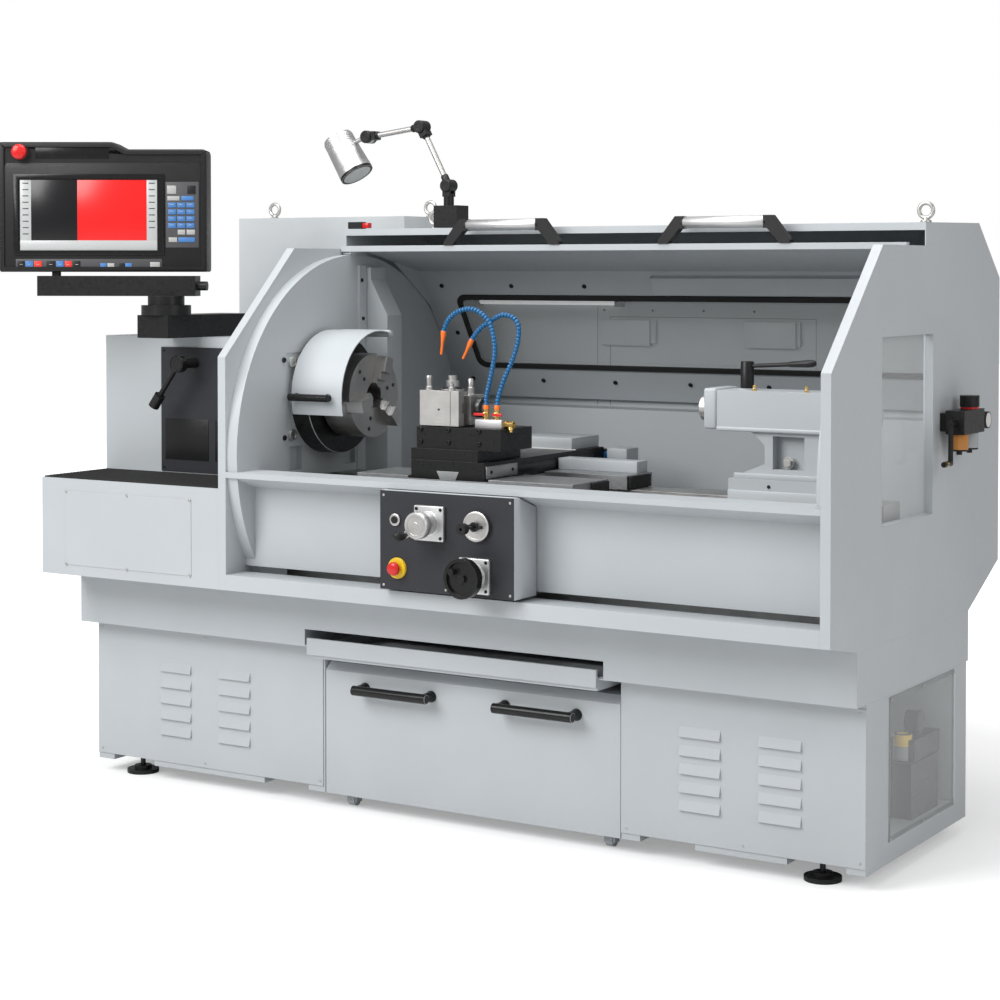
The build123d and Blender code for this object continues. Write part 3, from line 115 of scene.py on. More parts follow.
class Finish:
    """A Principled material under construction, with its coordinates at hand."""

    def __init__(self, name, colour, roughness, metallic=0.0):
        self.material = bpy.data.materials.new(name)
        self.material.use_nodes = True
        self.tree = self.material.node_tree
        self.shader = self.tree.nodes["Principled BSDF"]
        self.shader.inputs["Base Color"].default_value = (*colour, 1.0)
        self.shader.inputs["Roughness"].default_value = roughness
        self.shader.inputs["Metallic"].default_value = metallic
        self.colour = colour
        self.roughness = roughness
        self.material.diffuse_color = (*colour, 1.0)
        self.place = self.tree.nodes.new("ShaderNodeTexCoord").outputs["Object"]

    def link(self, source, target):
        self.tree.links.new(source, target)

    def mapping(self, scale=(1.0, 1.0, 1.0), shift=(0.0, 0.0, 0.0), turn=(0.0, 0.0, 0.0)):
        """Object coordinates, moved, turned and stretched."""
        node = self.tree.nodes.new("ShaderNodeMapping")
        node.inputs["Scale"].default_value = scale
        node.inputs["Location"].default_value = shift
        node.inputs["Rotation"].default_value = turn
        self.link(self.place, node.inputs["Vector"])
        return node.outputs["Vector"]

    def noise(self, scale, detail=4.0, vector=None):
        node = self.tree.nodes.new("ShaderNodeTexNoise")
        node.inputs["Scale"].default_value = scale
        node.inputs["Detail"].default_value = detail
        self.link(vector or self.place, node.inputs["Vector"])
        return node.outputs["Fac"]

    def ranged(self, value, low, high, start=0.3, end=0.7):
        """A 0 to 1 pattern spread between two values."""
        node = self.tree.nodes.new("ShaderNodeMapRange")
        node.inputs["From Min"].default_value = start
        node.inputs["From Max"].default_value = end
        node.inputs["To Min"].default_value = low
        node.inputs["To Max"].default_value = high
        self.link(value, node.inputs["Value"])
        return node.outputs["Result"]

    def mixed(self, factor, first, second):
        """Two colours, or colour outputs, mixed by a factor."""
        node = self.tree.nodes.new("ShaderNodeMix")
        node.data_type = "RGBA"
        for value, socket in ((first, node.inputs[6]), (second, node.inputs[7])):
            if isinstance(value, tuple):
                socket.default_value = (*value, 1.0)
            else:
                self.link(value, socket)
        self.link(factor, node.inputs[0])
        return node.outputs[2]

    def drift(self, amount, scale=3.0):
        """Lets the base colour drift lighter and darker over the piece."""
        low = tuple(channel * (1.0 - amount) for channel in self.colour)
        high = tuple(min(channel * (1.0 + amount), 1.0) for channel in self.colour)
        pattern = self.ranged(self.noise(scale, 5.0), 0.0, 1.0)
        colour = self.mixed(pattern, low, high)
        self.link(colour, self.shader.inputs["Base Color"])
        return colour

    def grain(self, amount, scale):
        """Varies the roughness with a fine pattern."""
        low = max(self.roughness - amount, 0.02)
        value = self.ranged(self.noise(scale, 3.0), low, self.roughness + amount)
        self.link(value, self.shader.inputs["Roughness"])

    def bump(self, height, distance, strength=1.0, round_edge=0.0014):
        """The texture's height over a normal that is rounded along the sharp edges."""
        edge = self.tree.nodes.new("ShaderNodeBevel")
        edge.samples = 4
        edge.inputs["Radius"].default_value = round_edge
        node = self.tree.nodes.new("ShaderNodeBump")
        self.link(edge.outputs["Normal"], node.inputs["Normal"])
        node.inputs["Distance"].default_value = distance
        node.inputs["Strength"].default_value = strength
        self.link(height, node.inputs["Height"])
        self.link(node.outputs["Normal"], self.shader.inputs["Normal"])


def coat(name, colour, roughness, peel=0.00006, peel_scale=420.0, drift=0.03):
    """Sprayed enamel: a slight orange peel and a barely uneven tone. Dark coats are set less glossy."""
    finish = Finish(name, colour, roughness)
    if max(colour) < 0.1:
        finish.shader.inputs["Specular IOR Level"].default_value = 0.28
    finish.drift(drift)
    finish.grain(0.06, 90.0)
    finish.bump(finish.noise(peel_scale, 2.0), peel)
    return finish


def paint(*values):
    """The material of a sprayed coat."""
    return coat(*values).material


def metal(name, colour, roughness, stretch=(1.0, 1.0, 1.0), scale=300.0, depth=0.00004):
    """Machined metal, its tool marks stretched along one direction."""
    finish = Finish(name, colour, roughness, 1.0)
    finish.drift(0.10, 14.0)
    marks = finish.noise(scale, 3.0, finish.mapping(scale=stretch))
    finish.link(finish.ranged(marks, roughness - 0.08, roughness + 0.12), finish.shader.inputs["Roughness"])
    finish.bump(marks, depth)
    return finish.material


# %% [markdown]
# The enclosure is blue-grey enamel. The electrical cabinet has a coarser, lighter texture paint.
# Black parts are plastic, phosphate or paint, and the working surfaces are bare ground steel.
# %% Finishes
enamel = paint("blue_grey_enamel", (0.425, 0.452, 0.470), 0.42)
texture_paint = paint("texture_enamel", (0.50, 0.525, 0.54), 0.55, 0.0004, 260.0, 0.06)
panel_paint = paint("dark_panel_paint", (0.028, 0.029, 0.034), 0.40, 0.00008, 600.0)
black_paint = paint("black_paint", (0.011, 0.011, 0.011), 0.32, 0.0001, 300.0, 0.1)
black_moulding = paint("black_moulding", (0.013, 0.0125, 0.0125), 0.42, 0.00012, 900.0, 0.1)
black_rubber = paint("black_rubber", (0.02, 0.02, 0.02), 0.75, 0.0002, 500.0, 0.15)
ground_steel = metal("ground_steel", (0.50, 0.495, 0.485), 0.38, (0.04, 1.0, 1.0), 500.0, 0.00001)
turned_steel = metal("turned_steel", (0.48, 0.47, 0.46), 0.36, (1.0, 0.3, 0.3), 600.0, 0.000006)
cast_grey = metal("machined_casting", (0.42, 0.43, 0.44), 0.42, (1.0, 0.2, 1.0), 200.0, 0.0001)
brass_turned = metal("turned_brass", (0.72, 0.48, 0.16), 0.26)
red_plastic = paint("red_plastic", (0.55, 0.012, 0.012), 0.25, 0.00003, 300.0, 0.06)
yellow_plastic = paint("yellow_plastic", (0.75, 0.50, 0.02), 0.3, 0.00003, 300.0, 0.05)
blue_plastic = paint("blue_plastic", (0.006, 0.11, 0.27), 0.28, 0.00004, 400.0, 0.08)
grey_plastic = paint("grey_plastic", (0.22, 0.23, 0.24), 0.5, 0.0001, 500.0, 0.08)
floor_finish = coat("floor_paint", (0.80, 0.80, 0.80), 0.9, 0.00005, 40.0, 0.01)
floor.data.materials.append(floor_finish.material)
floor_tree = floor_finish.tree
camera_ray = floor_tree.nodes.new("ShaderNodeLightPath").outputs["Is Camera Ray"]
floor_finish.shader.inputs["Emission Color"].default_value = (1.0, 1.0, 1.0, 1.0)
far = floor_tree.nodes.new("ShaderNodeVectorMath")
far.operation = "LENGTH"
floor_finish.link(floor_finish.place, far.inputs[0])
glow = floor_tree.nodes.new("ShaderNodeMath")
glow.operation = "MULTIPLY"
floor_finish.link(camera_ray, glow.inputs[0])
floor_finish.link(floor_finish.ranged(far.outputs["Value"], 0.30, 1.0, 1.9, 3.4), glow.inputs[1])
floor_finish.link(glow.outputs[0], floor_finish.shader.inputs["Emission Strength"])

clear = Finish("clear_pane", (0.93, 0.96, 0.97), 0.04)
clear.shader.inputs["Alpha"].default_value = 0.16
clear.grain(0.02, 30.0)
clear_pane = clear.material
tube = Finish("frosted_tube", (0.85, 0.88, 0.90), 0.3)
tube.drift(0.04, 20.0)
tube.shader.inputs["Emission Color"].default_value = (1.0, 1.0, 1.0, 1.0)
tube.shader.inputs["Emission Strength"].default_value = 0.35
frosted_tube = tube.material

node_finish = {
    texture_paint: ["electrical_cabinet"],
    panel_paint: ["range_panel", "control_box"],
    black_paint: ["levelling_feet", "cross_slide", "pendant_arm", "pendant_swing_arm", "lamp_base",
                  "lamp_lower_arm", "lamp_upper_arm", "lubricator", "air_regulator"],
    black_moulding: ["pendant_housing", "interlock_switch", "hood_handles", "gear_lever", "tailstock_lever",
                     "jog_gimbal", "jog_stick", "cycle_button"],
    black_rubber: ["rubber_mat"],
    ground_steel: ["lathe_bed", "z_screw", "toolpost", "quill", "lifting_eyebolts", "z_handwheel",
        "lamp_head",
                   "quill_handwheel", "chuck_jaw_1", "chuck_jaw_2", "chuck_jaw_3"],
    turned_steel: ["spindle_shaft", "chuck_body"],
    cast_grey: ["saddle"],
    clear_pane: ["side_windows", "hood_window"],
    brass_turned: ["coolant_manifold"],
    blue_plastic: ["coolant_hoses"],
    red_plastic: ["pendant_estop", "carriage_estop"],
    frosted_tube: ["work_light"],
    grey_plastic: ["drag_chain"],
}
finish_of = {name: enamel for name in nodes}
for finish, names in node_finish.items():
    for name in names:
        finish_of[name] = finish
for name, node in nodes.items():
    for slot in node.material_slots:
        slot.material = finish_of[name]

# %% [markdown]
# New pieces start as a primitive at its size and place, are shaped in edit mode and end as plain meshes with
# their place in the mesh. The helpers below do the start and the end of that work, in millimetres,
# so that each step after them can say only what is special about its own piece.
# %% Helpers for new pieces
made = []


def begin(name):
    """Names the primitive just added, bakes its place into the mesh and opens it for editing."""
    piece = bpy.context.active_object
    piece.name = name
    bpy.ops.object.transform_apply(location=True, rotation=True, scale=True)
    bpy.ops.object.mode_set(mode="EDIT")
    bpy.ops.mesh.select_mode(type="FACE")
    bpy.ops.mesh.select_all(action="SELECT")
    return piece


def close(piece):
    """Joins doubled points, turns the faces outwards and leaves edit mode."""
    if piece.mode != "EDIT":
        bpy.context.view_layer.objects.active = piece
        bpy.ops.object.mode_set(mode="EDIT")
    bpy.ops.mesh.select_all(action="SELECT")
    bpy.ops.mesh.remove_doubles(threshold=0.000005)
    bpy.ops.mesh.normals_make_consistent(inside=False)
    bpy.ops.object.mode_set(mode="OBJECT")
    return piece


def hand_over(piece, finish, body, smooth=35.0):
    """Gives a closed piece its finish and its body."""
    bpy.ops.object.select_all(action="DESELECT")
    piece.select_set(True)
    bpy.context.view_layer.objects.active = piece
    bpy.ops.object.shade_smooth_by_angle(angle=math.radians(smooth))
    piece.data.materials.clear()
    piece.data.materials.append(finish)
    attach(piece, body)
    made.append(piece.name)
    return piece


def choose(piece, test):
    """Selects the faces of the open piece that pass a test on their middle and normal."""
    mesh = bmesh.from_edit_mesh(piece.data)
    for item in list(mesh.faces) + list(mesh.edges) + list(mesh.verts):
        item.select = False
    for face in mesh.faces:
        if test(face.calc_center_median() * 1000, face.normal):
            face.select_set(True)
    bmesh.update_edit_mesh(piece.data)


def metres(point):
    return Vector(point) * 0.001


def block(name, low, high, edge=0.8, segments=2):
    """A box between two corners with its edges broken by a small bevel."""
    bpy.ops.object.select_all(action="DESELECT")
    middle = (metres(low) + metres(high)) / 2
    bpy.ops.mesh.primitive_cube_add(size=1.0, location=middle)
    bpy.context.active_object.scale = metres(high) - metres(low)
    piece = begin(name)
    bpy.ops.mesh.bevel(offset=edge * 0.001, segments=segments, affect="EDGES")
    return close(piece)


def turned(name, start, axis, profile, sides=32):
    """A round piece grown from a disc: each (distance, radius) pair extrudes its end face there."""
    bpy.ops.object.select_all(action="DESELECT")
    along = Vector(axis).normalized()
    first_distance, first_radius = profile[0]
    bpy.ops.mesh.primitive_circle_add(vertices=sides, radius=first_radius * 0.001, fill_type="NGON",
        location=metres(start) + along * first_distance * 0.001, rotation=along.to_track_quat("Z",
        "Y").to_euler())
    piece = begin(name)
    radius = first_radius
    reached = first_distance
    for distance, next_radius in profile[1:]:
        move = along * (distance - reached) * 0.001
        bpy.ops.mesh.extrude_region_move(TRANSFORM_OT_translate={"value": move})
        ratio = next_radius / radius
        centre = metres(start) + along * distance * 0.001
        bpy.ops.transform.resize(value=(ratio, ratio, ratio), center_override=centre)
        radius = next_radius
        reached = distance
    return close(piece)


def open_shape(name, places, faces):
    """A flat mesh of places in metres, made the active piece."""
    bpy.ops.object.select_all(action="DESELECT")
    mesh = bpy.data.meshes.new(name)
    mesh.from_pydata(places, [], faces)
    piece = bpy.data.objects.new(name, mesh)
    bpy.context.scene.collection.objects.link(piece)
    bpy.context.view_layer.objects.active = piece
    piece.select_set(True)


def grown(name, along, edge=0.0, segments=2):
    """The active flat shape extruded along a vector, with its edges broken where an edge is given."""
    piece = begin(name)
    bpy.ops.mesh.extrude_region_move(TRANSFORM_OT_translate={"value": metres(along)})
    if edge:
        bpy.ops.mesh.select_all(action="SELECT")
        bpy.ops.mesh.bevel(offset=edge * 0.001, segments=segments, affect="EDGES")
    return close(piece)


def outline(name, points, along, edge=0.0, segments=2):
    """A solid between an outline of points and its copy moved along a vector."""
    open_shape(name, [metres(point) for point in points], [tuple(range(len(points)))])
    return grown(name, along, edge, segments)


def copies(piece, places):
    """The piece repeated by each matrix or offset, all in one mesh."""
    shape = bmesh.new()
    for place in places:
        if not isinstance(place, Matrix):
            place = Matrix.Translation(metres(place))
        copy = piece.data.copy()
        copy.transform(place)
        shape.from_mesh(copy)
        bpy.data.meshes.remove(copy)
    shape.to_mesh(piece.data)
    shape.free()
    return piece


def joined(name, parts):
    """Several pieces of one finish gathered into the first."""
    if len(parts) > 1:
        bpy.ops.object.select_all(action="DESELECT")
        for part in parts:
            part.select_set(True)
        bpy.context.view_layer.objects.active = parts[0]
        bpy.ops.object.join()
    parts[0].name = name
    return parts[0]


def facing(point, axis):
    """A matrix that takes the Z axis to a direction and the origin to a point in millimetres."""
    turn = Vector(axis).normalized().to_track_quat("Z", "Y").to_matrix().to_4x4()
    return Matrix.Translation(metres(point)) @ turn


def cap_screws(name, places, axis, radius, body, finish, height=None):
    """Socket cap screws: one is turned, its socket sunk, and the rest are copies."""
    high = height or radius * 0.9
    profile = [(0, radius), (high - 0.12 * radius, radius), (high, radius * 0.88), (high, radius * 0.5),
        (high * 0.45, radius * 0.46)]
    screw = turned(name, (0, 0, 0), (0, 0, 1), profile, 20)
    copies(screw, [facing(place, axis) for place in places])
    return hand_over(screw, finish, body)


def hex_bolts(name, places, axis, radius, body, finish):
    """Hexagon heads on round washers."""
    washer = turned(name, (0, 0, 0), (0, 0, 1), [(0, radius * 1.25), (radius * 0.2, radius * 1.25)], 24)
    head = turned(name + "_head", (0, 0, 0), (0, 0, 1), [(radius * 0.2, radius), (radius * 0.8, radius),
        (radius * 0.95, radius * 0.84)], 6)
    bolt = joined(name, [washer, head])
    copies(bolt, [facing(place, axis) for place in places])
    return hand_over(bolt, finish, body)


# %% [markdown]
# The moulded and small parts need a few finishes of their own: plain aluminium, blackened steel, safety
# orange, the printed colours of the keys and the lit fields of a flat screen.
# %% More finishes
aluminium = metal("milled_aluminium", (0.60, 0.60, 0.60), 0.42, (1.0, 0.08, 1.0), 500.0, 0.00001)
dark_steel = metal("blackened_steel", (0.09, 0.09, 0.092), 0.34, (1.0, 1.0, 1.0), 260.0)
orange_plastic = paint("orange_plastic", (0.85, 0.17, 0.01), 0.32, 0.00003, 400.0, 0.05)
white_plastic = paint("pale_plastic", (0.62, 0.62, 0.60), 0.4, 0.00003, 400.0, 0.03)
key_blue = paint("key_blue", (0.05, 0.17, 0.42), 0.42, 0.00002, 500.0, 0.06)
key_red = paint("key_red", (0.62, 0.03, 0.02), 0.42, 0.00002, 500.0, 0.06)
key_grey = paint("key_grey", (0.36, 0.36, 0.35), 0.45, 0.00002, 500.0, 0.05)
membrane = paint("membrane_grey", (0.07, 0.07, 0.075), 0.45, 0.00003, 700.0, 0.05)
satin_black = paint("satin_black", (0.01, 0.01, 0.01), 0.22, 0.00002, 500.0, 0.08)


def lit(name, colour, strength):
    """A lit field of a flat screen, with its fine row structure in the roughness."""
    finish = Finish(name, colour, 0.25)
    finish.drift(0.02, 8.0)
    finish.grain(0.03, 2500.0)
    finish.shader.inputs["Emission Color"].default_value = (*colour, 1.0)
    finish.shader.inputs["Emission Strength"].default_value = strength
    return finish.material


screen_black = lit("screen_black", (0.004, 0.004, 0.005), 0.0)
screen_red = lit("screen_red", (0.62, 0.008, 0.008), 0.30)
screen_grey = lit("screen_grey", (0.40, 0.41, 0.41), 0.10)
print("finishes", len(bpy.data.materials))

# %% [markdown]
# The control pendant is the face of the machine. Its housing is a moulded shell: the outline is drawn once,
# extruded, and all its edges are rounded by one wide bevel. The front is then inset and sunk in two steps,
# as the real bezel is, and the screen, keypad and key strip are thin plates set into it.
# %% Pendant housing
pendant_hub = Vector((-940.0 - 348.0 * math.cos(math.radians(24.8)),
    -357.0 - 348.0 * math.sin(math.radians(24.8)), 1582.0))
view_turn = math.radians(31.9)
across = Vector((math.cos(view_turn), math.sin(view_turn), 0.0))
outward = Vector((math.sin(view_turn), -math.cos(view_turn), 0.0))
face_origin = pendant_hub + outward * 30.0
face_frame = Matrix.Translation(face_origin * 0.001) @ Matrix((
    (across.x, 0.0, outward.x, 0.0), (across.y, 0.0, outward.y, 0.0), (0.0, 1.0, 0.0, 0.0), (0.0, 0.0, 0.0,
        1.0)))



def on_pendant(piece, finish, body="pendant", smooth=35.0):
    """Moves a piece drawn on the flat face to the pendant and hands it over."""
    piece.data.transform(face_frame)
    return hand_over(piece, finish, body, smooth)


shell_outline = [(-171, 4, -1), (-171, 400, -1), (-166, 404, -1), (180, 404, -1), (221, 381.5, -1),
    (462, 381.5, -1), (468, 372, -1), (468, 4, -1)]
shell = outline("pendant_shell", shell_outline, (0, 0, -116), 7.0, 4)
bpy.ops.object.mode_set(mode="EDIT")
choose(shell, lambda middle, normal: middle.z > -1.2)
bpy.ops.mesh.inset(thickness=0.009)
bpy.ops.mesh.extrude_region_move(TRANSFORM_OT_translate={"value": (0.0, 0.0, -0.005)})
close(shell)
on_pendant(shell, black_moulding, smooth=40.0)
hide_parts("pendant_housing")
front_panel = outline("pendant_front", [(-158, 14, -7), (-158, 322, -7), (-146, 340, -7), (446, 340, -7),
    (458, 322, -7), (458, 14, -7)], (0, 0, 3.2), 1.2)
on_pendant(front_panel, black_moulding)


def on_face(name, u, v, w, edge, finish):
    """A thin plate on the pendant's face between two widths, heights and depths."""
    return on_pendant(block(name, (u[0], v[0], w[0]), (u[1], v[1], w[1]), edge), finish)


# %% [markdown]
# A rounded black surround frames the screen. The picture on it is five plain lit fields: two large ones,
# a pale strip on each side and one below, which is how the screen reads from a distance.
# %% Pendant screen
surround = block("screen_surround", (-126, 55, -6), (338, 306, 1.0), 1.5)
bpy.ops.object.mode_set(mode="EDIT")
choose(surround, lambda middle, normal: normal.z > 0.99)
bpy.ops.mesh.inset(thickness=0.014)
bpy.ops.mesh.extrude_region_move(TRANSFORM_OT_translate={"value": (0.0, 0.0, -0.004)})
close(surround)
on_pendant(surround, satin_black)
tall = (101, 287)
for label, u, v, finish in (
        ("dark", (-72, 70.5), tall, screen_black), ("red", (70.5, 284), tall, screen_red),
        ("left", (-106, -72), tall, screen_grey), ("right", (284, 316), tall, screen_grey),
        ("low", (-106, 316), (67, 101), screen_grey)):
    on_face("screen_" + label, u, v, (-3.6, -2.4), 0.1, finish)
marks = [(u, v) for u, rows in ((-89, 9), (300, 8)) for v in [277 - 19.5 * row for row in range(rows)]]
dash = block("screen_marks", (-9, -1.6, -2.5), (9, 1.6, -2.2), 0.05)
copies(dash, [(u, v, 0) for u, v in marks])
on_pendant(dash, membrane)
on_face("bare_plate", (-59, 168), (352, 392), (-6.6, -5.0), 0.6, satin_black)

# %% [markdown]
# The keys are shallow domes in a printed membrane. One key is a bevelled plate; the number block and the
# strip below the screen are its copies, sorted by colour.
# %% Pendant keys
on_face("keypad_plate", (342, 444), (79, 281), (-4.6, -3.0), 0.4, membrane)
on_face("key_strip", (-120, 330), (16, 44), (-4.6, -3.0), 0.4, membrane)


def keys(name, places, finish):
    """Keys of several sizes from (left, right, low, top) places on the face."""
    parts = [block(name, (left, low, -3.2), (right, top, -1.6), 0.6) for left, right, low, top in places]
    return on_pendant(joined(name, parts), finish)


number_keys = [(349.4 + 28.4 * column, 374.0 + 28.4 * column, 202.2 - 21.0 * row, 217.2 - 21.0 * row)
    for row in range(4) for column in range(3)]
keys("blue_keys", number_keys + [(390.5, 428.9, 223.7, 237.3), (381.0, 432.3, 95.8, 110.3), (-90.3, -66.4,
    13.9, 37.8), (4.5, 27.5, 13.9, 37.8), (140.2, 159.9, 13.9, 31.0), (217.1, 237.6, 13.9, 31.0)], key_blue)
keys("grey_keys", [(346.9, 375.1, 244.2, 269.8), (347.7, 385.3, 223.7, 237.3), (379.3, 402.4, 118.8, 134.1),
    (406.7, 432.3, 118.8, 134.1), (351.2, 377.6, 95.8, 110.3), (162.4, 183.8, 13.9, 31.0), (293.9, 323.8,
    14.7, 34.4)], key_grey)
keys("red_keys", [(-63.8, -39.1, 13.9, 37.8), (30.9, 53.1, 13.9, 37.8)], key_red)
keys("dark_keys", [(409.2, 434.8, 244.2, 269.8), (-114.2, -92.9, 13.9, 37.8), (-25.4, 1.9, 13.9, 37.8),
    (56.6, 78.8, 13.9, 37.8), (198.3, 217.0, 13.9, 31.0)], black_moulding)
legend = block("key_legends", (-5, -0.7, -1.6), (5, 0.7, -1.45), 0.04)
copies(legend, [((place[0] + place[1]) / 2, (place[2] + place[3]) / 2 + 2, 0) for place in number_keys]
    + [(u, 27.0, 0) for u in (-103, -78, -51, -12, 16, 42, 68)])
on_pendant(legend, white_plastic)

# %% [markdown]
# The stop button is a mushroom: a stem, an undercut and a low dome, all grown from one disc.
# %% Stop buttons
stop_profile = [(-14, 8), (6, 8), (6, 20), (9, 23.4), (13, 24), (19, 23), (23, 19.5), (25, 13), (25.8, 5),
    (25.9, 0.8)]
stop_head = turned("pendant_stop_head", (-105, 373, 0), (0, 0, 1), stop_profile, 48)
on_pendant(stop_head, red_plastic, "pendant_stop", 50.0)
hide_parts("pendant_estop")
collar = turned("pendant_stop_collar", (-105, 373, 0), (0, 0, 1), [(-7, 27), (-3.5, 27), (-2.5, 26),
    (-2.5, 12)], 40)
on_pendant(collar, black_rubber)
small_profile = [(0, 8), (-19.6, 8), (-20, 15), (-24, 18.6), (-29, 19), (-34, 17.2), (-36.4, 12), (-37, 5),
    (-37, 0.8)]
stop_small = turned("box_stop_head", (77, -574, 773), (0, 1, 0), small_profile, 40)
hand_over(stop_small, red_plastic, "stop", 50.0)
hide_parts("carriage_estop")
print("pendant pieces", len(made))

# %% [markdown]
# Coolant comes through ball-jointed hose: dozens of short cups, each gripping the ball of the next.
# One cup is turned and copied along a smooth path through the hose's bends, each copy turned to the path.
# %% Coolant hoses
satin_steel = metal("satin_steel", (0.52, 0.51, 0.495), 0.40, (0.02, 0.02, 1.0), 1300.0, 0.000006)
bolt_black = paint("bolt_black", (0.012, 0.012, 0.013), 0.35, 0.00003, 400.0, 0.1)
to_operator = (0, -1, 0)
to_tail = (1, 0, 0)
upwards = (0, 0, 1)
cup_pitch = 10.2
curve_steps = 24


def fit_boxes(name, corners, edge, finish, body):
    """Boxes between (low, high) corners, handed over as one piece."""
    boxes = [block(name, low, high, edge) for low, high in corners]
    return hand_over(joined(name, boxes), finish, body)


def fit_turned(name, rows, finish, body, smooth=40.0):
    """Round forms, each given as (start, axis, profile, sides), handed over as one piece."""
    return hand_over(joined(name, [turned(name, *row) for row in rows]), finish, body, smooth)


def smooth_path(points, pitch):
    """Places at even distances along a curve through the points, each with its direction."""
    knots = [Vector(point) for point in points]
    dense = []
    for index in range(len(knots) - 1):
        before = knots[max(index - 1, 0)]
        first, last = knots[index], knots[index + 1]
        after = knots[min(index + 2, len(knots) - 1)]
        for step in range(curve_steps):
            t = step / curve_steps
            dense.append(0.5 * (2 * first + (last - before) * t
                                + (2 * before - 5 * first + 4 * last - after) * t * t
                                + (3 * first - before - 3 * last + after) * t ** 3))
    dense.append(knots[-1])
    places = []
    due = 0.0
    travelled = 0.0
    for first, last in zip(dense, dense[1:]):
        run = (last - first).length
        while due <= travelled + run and run > 0:
            places.append((first.lerp(last, (due - travelled) / run), (last - first).normalized()))
            due += pitch
        travelled += run
    return places


left_route = [(198, -316, 1211), (201, -318, 1240), (222, -324, 1309), (235, -330, 1372), (222, -330, 1434),
    (196, -330, 1466), (159, -330, 1482), (114, -330, 1475), (80, -330, 1451), (64, -330, 1419)]
right_route = [(234, -316, 1211), (237, -314, 1235), (252, -308, 1285), (274, -302, 1335),
    (292, -302, 1385), (296, -302, 1430), (281, -302, 1457), (244, -302, 1466), (208, -302, 1450),
    (170, -302, 1427), (141, -302, 1395)]
tip_ends = ((55, -330, 1352), (111, -302, 1340))
cup_profile = [(0, 4.6), (1, 6.9), (3.5, 7.4), (6.5, 7.3), (9, 5.6), (10.6, 4.4)]
cup = turned("hose_cups", (0, 0, 0), upwards, cup_profile, 14)
places = smooth_path(left_route, cup_pitch) + smooth_path(right_route, cup_pitch)
copies(cup, [facing(place, direction) for place, direction in places])
hand_over(cup, blue_plastic, "slide", 50.0)
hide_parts("coolant_hoses")
tips = []
for route, end in zip((left_route, right_route), tip_ends):
    run = Vector(end) - Vector(route[-1])
    tips.append((route[-1], run, [(-2, 6), (2, 7.6), (14, 7.6), (18, 6.4), (30, 5.2), (32, 4.2),
        (run.length, 3.4), (run.length, 2.4), (run.length - 6, 2.2)], 20))
valve_x = (198, 234)
tips += [((x, -316, 1200), upwards, [(0, 8.4), (9, 8.4), (11, 7.6), (14, 6)], 20) for x in valve_x]
fit_turned("hose_tips", tips, orange_plastic, "slide")
print("hose cups", len(places))

# %% [markdown]
# The hoses stand on a milled aluminium block with two small brass ball valves and a brass elbow at its end.
# %% Coolant manifold
manifold = fit_boxes("manifold_block", [((174, -338, 1147.2), (262, -296, 1172))], 0.8, aluminium,
    "slide")
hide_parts("coolant_manifold")
valve_profile = [(0, 9), (4, 9), (5, 7), (9, 7), (10, 9.5), (20, 9.5), (21, 8), (30, 8)]
brass_rows = []
for x in valve_x:
    brass_rows.append(((x, -316, 1170), upwards, valve_profile, 24))
    brass_rows.append(((x, -316, 1186), to_operator, [(0, 6), (14, 6), (15, 4), (19, 4)], 20))
brass_rows.append(((262, -316, 1159), to_tail, [(0, 11), (7, 11), (8, 8.5), (16, 8.5), (17, 10.5),
    (27, 10.5), (28, 9), (28, 6), (22, 5.6)], 6))
brass_rows.append(((278, -316, 1160), (0.2, -0.2, -1), [(0, 7.5), (18, 7.5), (19, 5.5), (24, 5.2)], 18))
fit_turned("valve_brass", brass_rows, brass_turned, "slide")
fit_boxes("valve_levers",
    [((left, -337, 1182), (right, -333.5, 1190)) for left, right in ((168, 203), (229, 262))],
    1.2, red_plastic, "slide")

# %% [markdown]
# The toolpost is ground steel, so it takes a satin finish with fine level grinding lines. Its studs, washers
# and the knurled ring are turned and laid over the block.
# %% Toolpost
for slot_item in nodes["toolpost"].material_slots:
    slot_item.material = satin_steel
clamp_at = (60, -278)
fit_turned("post_studs", [
    ((20, -338, 1250), upwards, [(0, 14), (2.5, 14), (2.5, 11), (10, 11), (12, 8.4), (26, 8.4), (28, 9),
                                 (40, 9), (42, 7.5)], 28),
    ((95, -338, 1250), upwards, [(0, 13), (2.5, 13), (2.5, 10), (9, 10), (11, 7), (18, 7), (19, 5.5)], 28),
    ((112, -262, 1236), upwards, [(0, 13), (3, 13), (3, 10.5), (20, 10.5), (22, 8.4), (44, 8.4),
                                  (46, 7)], 28),
    ((*clamp_at, 1256), upwards, [(0, 18.5), (18, 18.5), (20, 16), (20, 9), (14, 8.6)], 6)],
    turned_steel, "post")
fit_turned("clamp_washer", [((*clamp_at, 1250), upwards, [(0, 30), (4, 30), (5.5, 28), (5.5, 19)], 40)],
    dark_steel, "post")
fit_turned("knurled_disc", [((136, -262, 1200), to_tail, [(0, 24), (2, 28.5), (17, 28.5), (20, 27),
    (21, 24), (21, 12), (19.6, 10)], 72)], dark_steel, "post", 30.0)
fit_turned("post_mark", [((60, -350.4, 1196), to_operator, [(-0.6, 3.2), (0.3, 3.2), (0.3, 2.2),
    (-0.4, 1.8)], 20)], dark_steel, "post", 35.0)
fit_boxes("holder_line", [((98.4, -350.5, 1152), (99.6, -349.6, 1249))], 0.1, dark_steel, "post")

